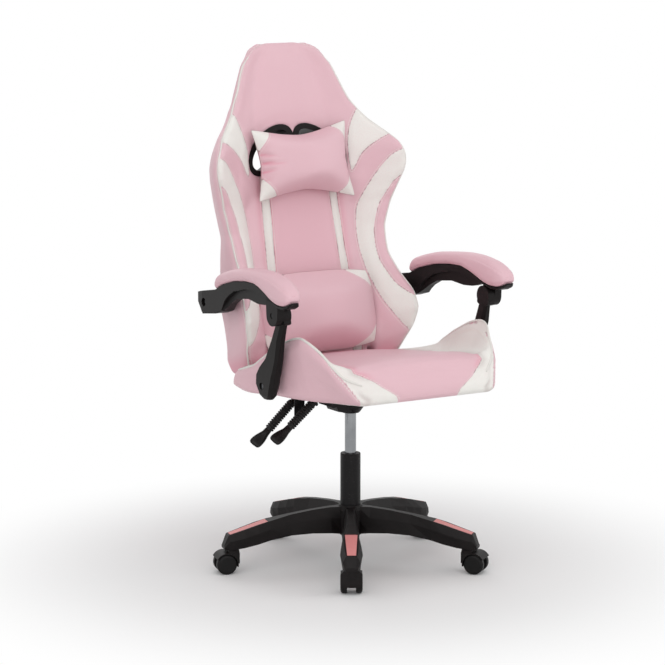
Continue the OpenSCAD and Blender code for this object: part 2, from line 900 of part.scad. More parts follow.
module seat_cushion() {
    color("#e3bcc4")
    difference() {
        skin([for (row = seat_rows) seat_ring(row)]);
        translate([0, 0, seat_z - 20])
            linear_extrude(20 + board_t + seat_gap)
            board_outline(seat_gap);
        for (side = [-1, 1]) {
            // Room for the board's ear and the bolt's head
            translate([side * (board_x - ear_room / 2 + 1.5 * seat_gap) - ear_room / 2, foot_y - ear_w / 2 - seat_gap, seat_z - 5])
                cube([ear_room, ear_w + 2 * seat_gap, ear_h + seat_gap + 5]);
            translate([side * 230, foot_y, foot_z])
                rotate([0, 90, 0])
                cylinder(r = bolt_r + seat_gap, h = 100, center = true);
            // Way in for the hinge plates
            translate([side * (hinge_x + hinge_plate_t / 2) - 5, 60, seat_z - 10])
                cube([10, 80, board_t + 36]);
        }
    }
}

module arm_leg_bolts() {
    color("#55575a")
    for (side = [-1, 1])
        translate([side * (board_x - ear_t - leg_head), foot_y, foot_z])
        rotate([0, side * 90, 0]) {
            cylinder(r = 9, h = leg_head - run_gap, $fn = 6);
            cylinder(r = bolt_r, h = leg_cap_x - board_x + ear_t + leg_head);
            translate([0, 0, leg_cap_x - board_x + ear_t + leg_head])
                cylinder(r = 8, h = 5);
        }
}

// ---- Hinge between seat and back ----

module bar(y0, z0, y1, z1, width, x, t) {
    length = sqrt(pow(y1 - y0, 2) + pow(z1 - z0, 2));
    translate([x, y0, z0])
        rotate([atan2(z1 - z0, y1 - y0), 0, 0])
        translate([0, 0, -width / 2])
        cube([t, length, width]);
}

module seat_hinge_plates() {
    color("#3a3c3e")
    for (side = [-1, 1])
        difference() {
            union() {
                translate([side * (hinge_x + hinge_plate_t / 2) - hinge_plate_t / 2, 0, 0]) {
                    bar(66, seat_z + board_t + 9, pivot_y, pivot_z, 17, 0, hinge_plate_t);
                    translate([0, pivot_y, pivot_z])
                        rotate([0, 90, 0])
                        cylinder(r = hinge_boss_r, h = hinge_plate_t);
                }
            }
            translate([side * hinge_x, pivot_y, pivot_z])
                rotate([0, 90, 0])
                cylinder(r = hinge_pin_r, h = 40, center = true);
            translate([side * hinge_x - 20, 30, seat_z])
                cube([40, 70, board_t]);
        }
}

module hinge_pins() {
    color("#8d8f92")
    for (side = [-1, 1])
        translate([side * (hinge_x - 4), pivot_y, pivot_z])
        rotate([0, side * 90, 0]) {
            cylinder(r = 8, h = 4 - run_gap);
            cylinder(r = hinge_pin_r - run_gap, h = 2 * hinge_plate_t + 6);
        }
}

module back_hinge_plates() {
    color("#3a3c3e")
    for (side = [-1, 1])
        difference() {
            translate([side * (hinge_x + hinge_plate_t * 1.5 + seat_gap) - hinge_plate_t / 2, 0, 0]) {
                translate([0, pivot_y, pivot_z])
                    rotate([0, 90, 0])
                    cylinder(r = hinge_boss_r, h = hinge_plate_t);
                bar(
                    pivot_y, pivot_z,
                    lean(0, plate_top_s, -frame_depth)[1], lean(0, plate_top_s, -frame_depth)[2],
                    20, 0, hinge_plate_t
                );
            }
            translate([side * hinge_x, pivot_y, pivot_z])
                rotate([0, 90, 0])
                cylinder(r = hinge_pin_r, h = 60, center = true);
        }
}

// ---- Back ----

module lean_frame() {
    translate([0, back_y, back_z])
        rotate([-back_lean, 0, 0])
        children();
}

function back_ring(row) =
    let (
        s = row[0],
        w = row[1],
        f = row[2],
        c = row[3],
        t = back_t * row[4],
        wr = row[5],
        ch = min(channel_x, 0.6 * w),
        half = [
            [0.5 * ch, 0.9 * c],
            [ch, 0],
            [mix(ch, w - 12, 0.5), 0.46 * f],
            [w - 15, f],
            [w - 4, f - 3],
            [mix(w, wr, 0.12), mix(f, -t, 0.18)],
            [mix(w, wr, 0.62) + 2, mix(f, -t, 0.6)],
            [wr, mix(f, -t, 0.88)],
            [wr - 15, -t]
        ]
    )
    concat(
        [[0, t, s]],
        [for (k = [len(half) - 1 : -1 : 0]) [-half[k][0], -half[k][1], s]],
        [[0, -c, s]],
        [for (p = half) [p[0], -p[1], s]]
    );

module leaf(side, grow) {
    translate([side * leaf_x, leaf_s])
        rotate([0, 0, side * -leaf_turn])
        polygon([for (k = [0 : 39]) [(leaf_a + grow) * cos(9 * k), (leaf_b + grow) * sin(9 * k)]]);
}

// Extrudes an outline of x and s from one depth to another, measured behind the back's plane
module depth_extrude(from, to) {
    lean_frame()
        translate([0, to, 0])
        rotate([90, 0, 0])
        linear_extrude(to - from)
        children();
}

module back_cushion() {
    color("#e3bcc4")
    difference() {
        lean_frame()
            skin([for (row = back_rows) back_ring(row)]);
        depth_extrude(frame_depth - frame_r - seat_gap, 120)
            polygon(pocket);
        for (side = [-1, 1]) {
            depth_extrude(-40, 120)
                leaf(side, 2 + seat_gap);
            depth_extrude(-61, 1)
                leaf(side, bezel_w + seat_gap);
            // Slot for the hinge plates
            depth_extrude(-60, 121)
                translate([side * 147 - 9, -20])
                square([18, 64]);
            depth_extrude(frame_depth - frame_r - 2, 122)
                translate([side * 152 - 19, 21])
                square([38, 72]);
            // Room for the frame's lug and the bolt's head
            depth_extrude(lug_depth - seat_gap, frame_depth)
                translate([side * (frame_x - rear_head / 2 - 1) - lug_room / 2, lug_s - lug_w / 2 - seat_gap])
                square([lug_room, lug_w + 2 * seat_gap]);
            translate([side * 200, rear_y, rear_z])
                rotate([0, 90, 0])
                cylinder(r = bolt_r + seat_gap, h = 78, center = true);
        }
    }
}

module back_frame() {
    dx = frame_x - frame_top_x;
    ds = frame_top - frame_bend;
    color("#3a3c3e")
    difference() {
        lean_frame() {
            translate([0, frame_depth, 0]) {
                for (side = [-1, 1]) {
                    translate([side * frame_x, 0, frame_low])
                        cylinder(r = frame_r, h = frame_bend - frame_low + 3);
                    translate([side * frame_x, 0, frame_bend])
                        rotate([0, -side * atan2(dx, ds), 0])
                        translate([0, 0, -3])
                        cylinder(r = frame_r - 0.2, h = sqrt(dx * dx + ds * ds) + 6);
                }
                translate([-frame_top_x - 4, 0, frame_top])
                    rotate([0, 90, 0])
                    cylinder(r = frame_r, h = 2 * frame_top_x + 8);
                for (s = frame_bars)
                    translate([-frame_x, 0, s])
                    rotate([0, 90, 0])
                    cylinder(r = frame_r - 2, h = 2 * frame_x);
            }
            // Lugs for the rear bolts of the armrests
            for (side = [-1, 1])
                translate([side * frame_x - lug_t / 2, lug_depth, lug_s - lug_w / 2])
                cube([lug_t, frame_depth - lug_depth, lug_w]);
        }
        for (side = [-1, 1])
            translate([side * frame_x, rear_y, rear_z])
            rotate([0, 90, 0])
            cylinder(r = bolt_r + run_gap, h = 60, center = true);
    }
}

module back_panel() {
    color("#dcb3bc")
    difference() {
        depth_extrude(panel_front, panel_front + panel_t)
            polygon([for (p = pocket) [p[0] - sign(p[0]) * seat_gap, p[1] + (p[1] > 300 ? -1 : 1) * seat_gap]]);
        for (side = [-1, 1])
            depth_extrude(20, 120)
            leaf(side, 2 + seat_gap);
        // Room for the hinge plates
        for (side = [-1, 1])
            depth_extrude(20, 120)
            translate([side * 150 - 14, 40])
            square([28, 92]);
    }
}

module strap_bezels() {
    color("#2b2829")
    for (side = [-1, 1])
        difference() {
            union() {
                depth_extrude(-bezel_lift, 1 - seat_gap)
                    leaf(side, bezel_w);
                depth_extrude(-2, bezel_rear)
                    leaf(side, 2);
                depth_extrude(bezel_rear - 3, bezel_rear)
                    leaf(side, bezel_w);
            }
            depth_extrude(-20, 120)
                leaf(side, 0);
        }
}

// ---- Pillows ----

// A cushion across the back: rings along x, each a rounded outline in s and d
function pillow_ring(x, s, h, d0, d1, pinch) = [
    for (k = [0 : 15])
    let (
        a = k * 22.5,
        ca = cos(a),
        sa = sin(a),
        round_c = sign(ca) * pow(abs(ca), ca > 0 ? 0.3 : 0.75),
        round_s = sign(sa) * pow(abs(sa), 0.75)
    )
    lean(x, s + h * round_s, mix(d0, d1, 0.5 - 0.5 * round_c))
];

module head_pillow() {
    color("#e3bcc4")
    skin([
        for (row = [
            [-1, 0.94, 26, 30], [-0.93, 0.97, 20, 52], [-0.75, 0.86, 14, 84], [-0.4, 0.8, head_d, 104], [0, 0.78, head_d, 108],
            [0.4, 0.8, head_d, 104], [0.75, 0.86, 14, 84], [0.93, 0.97, 20, 52], [1, 0.94, 26, 30]
        ])
        pillow_ring(row[0] * head_w, head_s, row[1] * head_h, row[2], row[3])
    ]);
}

module lumbar_pillow() {
    color("#e3bcc4")
    skin([
        for (row = [
            [-1, 0.7, 46, 58], [-0.94, 0.86, 38, 78], [-0.8, 0.97, 26, 96], [-0.55, 1, 7, 106], [0, 1, lumbar_d, 112],
            [0.55, 1, 7, 106], [0.8, 0.97, 26, 96], [0.94, 0.86, 38, 78], [1, 0.7, 46, 58]
        ])
        pillow_ring(row[0] * lumbar_w, lumbar_s, row[1] * lumbar_h, row[2], row[3])
    ]);
}

module head_strap() {
    rear = bezel_rear + seat_gap;
    color("#262324")
    lean_frame()
        translate([0, 0, strap_s - strap_w / 2])
        linear_extrude(strap_w)
        difference() {
            translate([-strap_x, -strap_d])
                square([2 * strap_x, strap_d + rear + strap_t]);
            translate([-strap_x + strap_t, strap_t - strap_d])
                square([2 * (strap_x - strap_t), strap_d - strap_t + rear]);
        }
}

module arm_rear_bolts() {
    start = frame_x - lug_t / 2 - rear_head - run_gap;
    inner_face = bracket_x(rear_y) - bracket_hw;
    color("#55575a")
    for (side = [-1, 1])
        translate([side * start, rear_y, rear_z])
        rotate([0, side * 90, 0]) {
            cylinder(r = 8, h = rear_head, $fn = 6);
            cylinder(r = bolt_r, h = rear_cap_x + 4 - start);
            // Spacer between the back and the bracket
            translate([0, 0, inner_face - spacer_l - spacer_gap - start])
                cylinder(r = 11, h = spacer_l);
            translate([0, 0, rear_cap_x + seat_gap - start])
                cylinder(r = 9, h = 4);
        }
}

// ---- Armrests ----

band_bevel = 1.2;
function bracket_x(y) = mix(278, elbow_x, (200 - y) / 360);

function bracket_ring(row) =
    let (y = row[0], cx = bracket_x(y), hw = bracket_hw * row[4], nw = row[5])
    [
        [cx + nw, y, row[3]], [cx + nw, y, row[2]], [cx + hw, y, row[2] + band_bevel], [cx + hw, y, row[1]],
        [cx - hw, y, row[1]], [cx - hw, y, row[2] + band_bevel], [cx - nw, y, row[2]], [cx - nw, y, row[3]]
    ];

function bracket_top(y) = lookup(-y, [for (row = bracket_rows) [-row[0], row[1]]]);

function pad_ring(row) =
    let (y = row[0], cx = bracket_x(y), hw = pad_hw * row[2], zb = bracket_top(y) + seat_gap, h = row[1] - zb)
    [
        [cx - 0.72 * hw, y, zb], [cx + 0.72 * hw, y, zb], [cx + 0.96 * hw, y, zb + 0.12 * h],
        [cx + hw, y, zb + 0.45 * h], [cx + 0.86 * hw, y, zb + 0.8 * h], [cx + 0.5 * hw, y, zb + 0.97 * h],
        [cx - 0.5 * hw, y, zb + h], [cx - 0.86 * hw, y, zb + 0.82 * h], [cx - hw, y, zb + 0.45 * h],
        [cx - 0.96 * hw, y, zb + 0.12 * h]
    ];

module arm_bracket() {
    color("#2d2a2a")
    difference() {
        union() {
            skin([for (row = bracket_rows) bracket_ring(row)], true);
            // Outer half of the elbow
            translate([elbow_x + run_gap + 0.1, elbow_y, elbow_z])
                rotate([0, 90, 0])
                cylinder(r = knuckle_r, h = elbow_half - 0.3);
            translate([elbow_x + run_gap + 0.1, 0, 0])
                rotate([90, 0, 90])
                linear_extrude(elbow_half - 0.3)
                polygon([
                    [elbow_y - knuckle_r, elbow_z], [elbow_y + knuckle_r, elbow_z], [elbow_y + knuckle_r + 2, 704],
                    [-150, 700.5], [-170, 695], [elbow_y - knuckle_r - 1, 690]
                ]);
        }
        translate([elbow_x - 1, elbow_y, elbow_z])
            rotate([0, 90, 0])
            cylinder(r = pin_r + run_gap, h = 40);
        translate([elbow_x + elbow_half - 5, elbow_y, elbow_z])
            rotate([0, 90, 0])
            cylinder(r = pin_r + 3, h = 40);
        translate([240, rear_y, rear_z])
            rotate([0, 90, 0])
            cylinder(r = bolt_r + rear_play, h = 80);
        translate([rear_cap_x, rear_y, rear_z])
            rotate([0, 90, 0])
            cylinder(r = 9 + rear_play, h = 40);
    }
}

module arm_pad() {
    color("#e3bcc4")
    skin([for (row = pad_rows) pad_ring(row)]);
}

function leg_ring(row) =
    let (z = row[0], r = row[1], f = row[2], t = row[3] / 2, cy = (r + f) / 2, hy = (r - f) / 2, k = min(6, hy * 0.5))
    [
        [leg_x + t, cy - hy + k, z], [leg_x + t, cy + hy - k, z], [leg_x + t - k, cy + hy, z], [leg_x - t + k, cy + hy, z],
        [leg_x - t, cy + hy - k, z], [leg_x - t, cy - hy + k, z], [leg_x - t + k, cy - hy, z], [leg_x + t - k, cy - hy, z]
    ];

module arm_leg() {
    color("#2d2a2a")
    difference() {
        union() {
            skin([for (row = leg_rows) leg_ring(row)]);
            translate([elbow_x - elbow_half, elbow_y, elbow_z])
                rotate([0, 90, 0])
                cylinder(r = knuckle_r, h = elbow_half - 0.15);
        }
        translate([elbow_x - elbow_half - 1, elbow_y, elbow_z])
            rotate([0, 90, 0])
            cylinder(r = pin_r, h = 40);
        translate([leg_x - 30, foot_y, foot_z])
            rotate([0, 90, 0])
            cylinder(r = bolt_r + run_gap, h = 60);
        translate([leg_x + 14 - 10, foot_y, foot_z])
            rotate([0, 90, 0])
            cylinder(r = 8.5, h = 30);
    }
}

module elbow_pin() {
    color("#55575a")
    translate([elbow_x - elbow_half, elbow_y, elbow_z])
        rotate([0, 90, 0]) {
            cylinder(r = pin_r, h = 2 * elbow_half - 2);
            translate([0, 0, 2 * elbow_half - 4.5])
                cylinder(r = pin_r + 2.5, h = 3);
        }
}

base_star();
base_inlays();
lift_tube();
lift_bushing();
lift_piston_rod();
lift_thrust_bearing();
lift_cylinder();
lift_valve_pin();
mechanism_housing();
mechanism_bolts();
lever_pins();
lever_rod(height_lever, height_finger);  // height_lever_rod
lever_sleeve(height_lever);  // height_lever_sleeve
lever_paddle(height_lever, height_bend);  // height_lever_paddle
lever_rod(recline_lever, recline_finger);  // recline_lever_rod
lever_sleeve(recline_lever);  // recline_lever_sleeve
lever_paddle(recline_lever, recline_bend);  // recline_lever_paddle
seat_board();
seat_cushion();
seat_hinge_plates();
hinge_pins();
back_hinge_plates();
back_frame();
back_cushion();
back_panel();
strap_bezels();
head_pillow();
head_strap();
lumbar_pillow();
arm_rear_bolts();
arm_leg_bolts();
mirror([1, 0, 0]) arm_bracket();  // right_arm_bracket
mirror([1, 0, 0]) arm_pad();  // right_arm_pad
mirror([1, 0, 0]) arm_leg();  // right_arm_leg
mirror([1, 0, 0]) elbow_pin();  // right_elbow_pin
arm_bracket();  // left_arm_bracket
arm_pad();  // left_arm_pad
arm_leg();  // left_arm_leg
elbow_pin();  // left_elbow_pin
caster_hood(0);  // caster_1_hood
caster_pins(0);  // caster_1_pins
caster_wheel(0, -1);  // caster_1_wheel_a
caster_wheel(0, 1);  // caster_1_wheel_b
caster_hood(1);  // caster_2_hood
caster_pins(1);  // caster_2_pins
caster_wheel(1, -1);  // caster_2_wheel_a
caster_wheel(1, 1);  // caster_2_wheel_b
caster_hood(2);  // caster_3_hood
caster_pins(2);  // caster_3_pins
caster_wheel(2, -1);  // caster_3_wheel_a
caster_wheel(2, 1);  // caster_3_wheel_b
caster_hood(3);  // caster_4_hood
caster_pins(3);  // caster_4_pins
caster_wheel(3, -1);  // caster_4_wheel_a
caster_wheel(3, 1);  // caster_4_wheel_b
caster_hood(4);  // caster_5_hood
caster_pins(4);  // caster_5_pins
caster_wheel(4, -1);  // caster_5_wheel_a
caster_wheel(4, 1);  // caster_5_wheel_b
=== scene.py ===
import json
import math

import bpy
import numpy as np
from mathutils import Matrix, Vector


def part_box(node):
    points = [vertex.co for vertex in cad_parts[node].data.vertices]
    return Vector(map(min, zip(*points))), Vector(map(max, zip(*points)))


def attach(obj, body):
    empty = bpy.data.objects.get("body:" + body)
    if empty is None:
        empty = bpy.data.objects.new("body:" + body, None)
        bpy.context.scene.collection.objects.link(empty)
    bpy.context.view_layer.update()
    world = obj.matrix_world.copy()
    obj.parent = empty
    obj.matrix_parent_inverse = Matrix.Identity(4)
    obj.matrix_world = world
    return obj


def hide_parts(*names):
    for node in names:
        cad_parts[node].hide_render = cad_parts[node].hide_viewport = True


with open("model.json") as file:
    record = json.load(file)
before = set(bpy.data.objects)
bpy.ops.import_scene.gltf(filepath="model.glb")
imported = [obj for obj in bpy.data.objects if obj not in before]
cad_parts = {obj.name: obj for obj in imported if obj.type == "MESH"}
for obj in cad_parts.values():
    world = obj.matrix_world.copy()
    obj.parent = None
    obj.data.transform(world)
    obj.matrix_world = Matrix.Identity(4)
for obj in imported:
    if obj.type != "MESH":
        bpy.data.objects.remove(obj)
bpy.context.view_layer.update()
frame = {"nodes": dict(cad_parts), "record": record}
nodes = frame["nodes"]


def paint(code):  # screen colour as six hex digits, to linear light
    parts = [int(code[i:i + 2], 16) / 255 for i in (0, 2, 4)]
    return tuple(c / 12.92 if c <= 0.04045 else ((c + 0.055) / 1.055) ** 2.4 for c in parts) + (1.0,)


def smoothStep(low, high, value):
    t = np.clip((value - low) / (high - low), 0, 1)
    return t * t * (3 - 2 * t)


def readTable(rows, at, *columns):  # the columns of a table, read at these places
    rows = np.array(rows, float)
    return [np.interp(at, rows[:, 0], rows[:, k]) for k in columns]


def closedSpline(points, perSpan):  # a smooth closed run through the points
    p = np.array(points, float)
    run = []
    for i in range(len(p)):
        a, b, c, d = (p[(i + k) % len(p)] for k in (-1, 0, 1, 2))
        for t in np.arange(perSpan) / perSpan:
            run.append(0.5 * (2 * b + (c - a) * t + (2 * a - 5 * b + 4 * c - d) * t ** 2
                              + (3 * b - a - 3 * c + d) * t ** 3))
    return np.array(run)


def lineDistance(points, line, closed=False):  # distance to a flat line, and the place along it
    ends = np.vstack([line, line[:1]]) if closed else np.array(line, float)
    best = np.full(len(points), 1e9)
    along = np.zeros(len(points))
    run = 0.0
    for a, b in zip(ends[:-1], ends[1:]):
        step = b - a
        length = max(np.hypot(*step), 1e-9)
        t = np.clip(((points - a) @ step) / length ** 2, 0, 1)
        away = np.hypot(*(points - a - t[:, None] * step).T)
        nearer = away < best
        best = np.where(nearer, away, best)
        along = np.where(nearer, run + t * length, along)
        run += length
    return best, along


def insideOutline(points, outline):
    inside = np.zeros(len(points), bool)
    for a, b in zip(outline, np.roll(outline, -1, 0)):
        crosses = (a[1] > points[:, 1]) != (b[1] > points[:, 1])
        rise = b[1] - a[1] if abs(b[1] - a[1]) > 1e-12 else 1e-12
        inside ^= crosses & (points[:, 0] < (b[0] - a[0]) * (points[:, 1] - a[1]) / rise + a[0])
    return inside


class Wire:  # a shader socket that takes part in sums
    def __init__(self, tree, out=None):
        self.tree, self.out = tree, out

    def make(self, kind, settings=None, values=None, out=0):
        node = self.tree.nodes.new(kind)
        for key, value in (settings or {}).items():
            if key == "stops":
                while len(node.color_ramp.elements) < len(value):
                    node.color_ramp.elements.new(0.5)
                for stop, (place, tone) in zip(node.color_ramp.elements, value):
                    stop.position, stop.color = place, tone
            else:
                setattr(node, key, value)
        for key, value in (values or {}).items():
            if isinstance(value, Wire):
                self.tree.links.new(value.out, node.inputs[key])
            else:
                node.inputs[key].default_value = value
        return Wire(self.tree, node.outputs[out])

    def sum(self, operation, a, b=0.0):
        return self.make("ShaderNodeMath", {"operation": operation}, {0: a, 1: b})

    def __add__(self, other):
        return self.sum("ADD", self, other)

    def __sub__(self, other):
        return self.sum("SUBTRACT", self, other)

    def __rsub__(self, other):
        return self.sum("SUBTRACT", other, self)

    def __mul__(self, other):
        return self.sum("MULTIPLY", self, other)

    __radd__, __rmul__ = __add__, __mul__

    def size(self):
        return self.sum("ABSOLUTE", self)

    def step(self, low, high):  # 0 below low, 1 above high
        return self.make("ShaderNodeMapRange", {"interpolation_type": "SMOOTHSTEP"},
                         {0: self, 1: low, 2: high, 3: 0.0, 4: 1.0})

    def blend(self, first, second):  # first where this is 0, second where it is 1
        return self.make("ShaderNodeMix", {"data_type": "RGBA"}, {0: self, 6: first, 7: second}, 2)


def rayShare(wire, *kinds):  # 1 for rays of any of these kinds, 0 for all others
    rays = wire.tree.nodes.new("ShaderNodeLightPath")
    share, *others = (Wire(wire.tree, rays.outputs[kind]) for kind in kinds)
    for other in others:
        share = wire.sum("MAXIMUM", share, other)
    return share


def attribute(wire, name):
    return wire.make("ShaderNodeAttribute", {"attribute_name": name}, out="Fac")


def newFinish(name, look):
    material = bpy.data.materials.new(name)
    material.use_nodes = True
    material.diffuse_color = look["colour"]
    shader = material.node_tree.nodes["Principled BSDF"]
    for key, value in look.get("fixed", {}).items():
        shader.inputs[key].default_value = value
    wire = Wire(material.node_tree)
    place = wire.make("ShaderNodeTexCoord", out="Object")
    return material, shader, wire, place


def connect(shader, **links):
    for key, value in links.items():
        shader.id_data.links.new(value.out, shader.inputs[key.replace("_", " ")])


def grain(wire, place, scale, detail=2.0):
    return wire.make("ShaderNodeTexNoise", None, {"Vector": place, "Scale": scale, "Detail": detail})


def stretched(wire, place, scale):
    return wire.make("ShaderNodeMapping", None, {"Vector": place, "Scale": scale})


def bump(wire, height):  # height in metres
    return wire.make("ShaderNodeBump", None, {"Strength": 1.0, "Distance": 1.0, "Height": height})


def leatherFinish(name, look):
    material, shader, wire, place = newFinish(name, look)
    pores = wire.make("ShaderNodeTexVoronoi", {"feature": "DISTANCE_TO_EDGE"},
                      {"Vector": place, "Scale": look["poreScale"]}, "Distance")
    fine = grain(wire, place, look["fineScale"])
    broad = grain(wire, place, look["broadScale"], 3.0)
    seam = attribute(wire, "seamNear")      # millimetres to the nearest seam
    along = attribute(wire, "seamAlong")    # millimetres along it
    white = attribute(wire, "panelEdge").step(-0.5, 0.5)
    # deep is painted shade: each point's share of deeper pink, grey on the white panels
    deep = attribute(wire, "fold").step(0.0, 1.0)
    stitchRow = 1 - (seam - look["stitchOff"]).size().step(0.35, 0.75)
    dash = (wire.sum("FRACT", along * (1 / look["stitchLength"])) - 0.5).size()
    stitch = stitchRow * (1 - dash.step(0.30, 0.36)) * attribute(wire, "stitched")
    # crease is painted shade along each seam, with a real dent from the bump below
    crease = 1 - seam.step(0.2, 1.5)
    base = white.blend(look["colour"], look["second"])
    # Painted shade: deeper pink where shade falls, and grey on the white panels
    base = (deep * look["paintedShadeShare"]).blend(base, white.blend(look["paintedShadeColour"], look["paintedShadeSecond"]))
    base = (broad.step(0.3, 0.7) * look["mottleShare"]).blend(base, look["mottle"])
    # Pores are grain, darkened with the same deeper pink as the painted shade
    base = ((1 - pores.step(0.0, 0.12)) * look["poreShare"]).blend(base, look["paintedShadeColour"])
    # Painted shade: a darker line in each seam's groove
    base = (crease * look["seamShadeShare"]).blend(base, look["seamShadeColour"])
    base = (stitch * look["threadShare"]).blend(base, look["threadColour"])
    rough = fine * 0.10 + broad * 0.08 + look["rough"] - stitch * 0.05
    height = pores.step(0.0, 0.2) * look["poreDepth"] + fine * look["fineDepth"] \
        - crease * look["creaseDepth"] + stitch * look["threadDepth"] + broad * look["broadDepth"]
    connect(shader, Base_Color=base, Roughness=rough, Normal=bump(wire, height))
    return material


def plasticFinish(name, look):
    material, shader, wire, place = newFinish(name, look)
    spark = grain(wire, place, look["grainScale"])
    broad = grain(wire, place, 11, 3.0)
    scuff = grain(wire, stretched(wire, place, (40, 40, 260)), 3.0, 4.0)
    marks = scuff.step(0.62, 0.75) * look["wear"]
    base = broad.step(0.35, 0.65).blend(look["colour"], look["second"])
    base = marks.blend(base, look["wearColour"])
    rough = spark * 0.16 + broad * 0.10 + look["rough"] - marks * 0.4
    connect(shader, Base_Color=base, Roughness=rough,
            Normal=bump(wire, spark * look["grainDepth"] + broad * 0.0002))
    return material


def metalFinish(name, look):
    material, shader, wire, place = newFinish(name, look)
    brush = grain(wire, stretched(wire, place, look["brush"]), 8.0, 5.0)
    broad = grain(wire, place, 18, 3.0)
    base = broad.step(0.3, 0.7).blend(look["colour"], look["second"])
    rough = brush * look["brushRough"] + broad * 0.06 + look["rough"]
    connect(shader, Base_Color=base, Roughness=rough, Normal=bump(wire, brush * look["brushDepth"]))
    return material


def rubberFinish(name, look):
    material, shader, wire, place = newFinish(name, look)
    spark = grain(wire, place, 900)
    broad = grain(wire, place, 30, 2.0)
    base = broad.step(0.3, 0.7).blend(look["colour"], look["second"])
    connect(shader, Base_Color=base, Roughness=spark * 0.14 + look["rough"],
            Normal=bump(wire, spark * 0.00008 + broad * 0.0002))
    return material


def woodFinish(name, look):
    material, shader, wire, place = newFinish(name, look)
    rings = grain(wire, stretched(wire, place, (30, 3, 30)), 6.0, 6.0)
    layers = wire.make("ShaderNodeTexWave", {"bands_direction": "Z"},
                       {"Vector": place, "Scale": 200.0, "Distortion": 0.4})
    base = (rings.step(0.35, 0.7) * 0.8 + layers * 0.2).blend(look["colour"], look["second"])
    connect(shader, Base_Color=base, Roughness=rings * 0.2 + 0.55, Normal=bump(wire, rings * 0.0003))
    return material


def webFinish(name, look):
    material, shader, wire, place = newFinish(name, look)
    across = wire.make("ShaderNodeTexWave", {"bands_direction": "X"}, {"Vector": place, "Scale": 160.0})
    down = wire.make("ShaderNodeTexWave", {"bands_direction": "Z"}, {"Vector": place, "Scale": 110.0})
    weave = across * down
    base = weave.blend(look["colour"], look["second"])
    connect(shader, Base_Color=base, Roughness=weave * 0.2 + 0.7, Normal=bump(wire, weave * 0.0004))
    return material


print("finishes")
blackSkin = {
    "colour": paint("100c0c"), "second": paint("151111"), "wearColour": paint("2e2a2a"), "wear": 0.25,
    "grainScale": 1100, "grainDepth": 0.00006, "rough": 0.36, "fixed": {"Specular IOR Level": 0.18},
}
leatherLook = {
    "colour": paint("dfbac2"), "second": paint("e9eae4"), "mottle": paint("dab0ba"),
    # Painted shade colours: deeper pink, and grey for the white panels
    "paintedShadeColour": paint("e0879d"), "paintedShadeSecond": paint("b9b3ae"), "paintedShadeShare": 0.6,
    # seamShadeColour is the painted shade in the seams
    "seamShadeColour": paint("96606b"), "threadColour": paint("ece6e0"),
    "mottleShare": 0.10, "poreShare": 0.16, "seamShadeShare": 0.70, "threadShare": 0.85,
    "poreScale": 520, "poreDepth": 0.00007, "fineScale": 1500, "fineDepth": 0.00002,
    "broadScale": 7, "broadDepth": 0.0006, "creaseDepth": 0.0011, "threadDepth": 0.0003, "rough": 0.40,
    "stitchLength": 4.2, "stitchOff": 3.6, "fixed": {"Specular IOR Level": 0.42, "Coat Weight": 0.04},
}
finishes = {
    "pinkLeather": leatherFinish("pinkLeather", leatherLook),
    # White leather: its painted shade is grey, and its painted seam shade a darker grey
    "whiteLeather": leatherFinish("whiteLeather", dict(
        leatherLook, colour=paint("e2dfda"), mottle=paint("d8d2cb"), paintedShadeColour=paint("b9b3ae"),
        seamShadeColour=paint("9a938e"))),
    "blackPlastic": plasticFinish("blackPlastic", blackSkin),
    "glossPlastic": plasticFinish("glossPlastic", dict(blackSkin, rough=0.16, grainDepth=0.00001)),
    "inlayPlastic": plasticFinish("inlayPlastic", dict(
        blackSkin, colour=paint("df9291"), second=paint("d98a89"), wearColour=paint("e0a9ac"), rough=0.30)),
    "wheelPlastic": plasticFinish("wheelPlastic", dict(
        blackSkin, colour=paint("0e0d0d"), second=paint("131212"), rough=0.32, wear=0.45)),
    "blackMetal": plasticFinish("blackMetal", dict(
        blackSkin, colour=paint("100e0f"), second=paint("151314"), rough=0.30, wear=0.30,
        wearColour=paint("6b6a6b"), grainScale=600, grainDepth=0.00009)),
    "brightSteel": metalFinish("brightSteel", {
        "colour": paint("939597"), "second": paint("85878a"), "brush": (3, 3, 60), "brushRough": 0.10,
        "rough": 0.10, "brushDepth": 0.00002, "fixed": {"Metallic": 1.0}}),
    "plainSteel": metalFinish("plainSteel", {
        "colour": paint("96989b"), "second": paint("7f8285"), "brush": (30, 30, 4), "brushRough": 0.22,
        "rough": 0.26, "brushDepth": 0.00005, "fixed": {"Metallic": 1.0}}),
    "blackRubber": rubberFinish("blackRubber", {
        "colour": paint("141213"), "second": paint("1a1819"), "rough": 0.62}),
    "plywood": woodFinish("plywood", {"colour": paint("9a7650"), "second": paint("7c5a3a")}),
    "blackWebbing": webFinish("blackWebbing", {"colour": paint("211f20"), "second": paint("3a3637")}),
}
slotFinish = {
    "black_plastic": "blackPlastic", "inlay_plastic": "inlayPlastic", "black_metal": "blackMetal",
    "bright_steel": "brightSteel", "plain_steel": "plainSteel", "black_rubber": "blackRubber",
    "plywood": "plywood", "pink_leather": "pinkLeather", "black_webbing": "blackWebbing",
    "wheel_plastic": "wheelPlastic",
}
slotOf = {row["node"]: row["material_slot"] for row in frame["record"]["subparts"]}
for name, node in nodes.items():
    choice = "glossPlastic" if name.endswith("_paddle") else slotFinish[slotOf[name]]
    finish = finishes["blackMetal" if name.endswith("_elbow_pin") else choice]
    if not node.material_slots:
        node.data.materials.append(finish)
    for slot in node.material_slots:
        slot.material = finish


def readPoints(mesh):
    flat = np.empty(len(mesh.vertices) * 3, np.float32)
    mesh.vertices.foreach_get("co", flat)
    return flat.reshape(-1, 3).astype(float)


def writePoints(mesh, points):
    mesh.vertices.foreach_set("co", points.astype(np.float32).ravel())
    mesh.update()


def readNormals(mesh):
    flat = np.empty(len(mesh.vertices) * 3, np.float32)
    mesh.vertex_normals.foreach_get("vector", flat)
    return flat.reshape(-1, 3).astype(float)


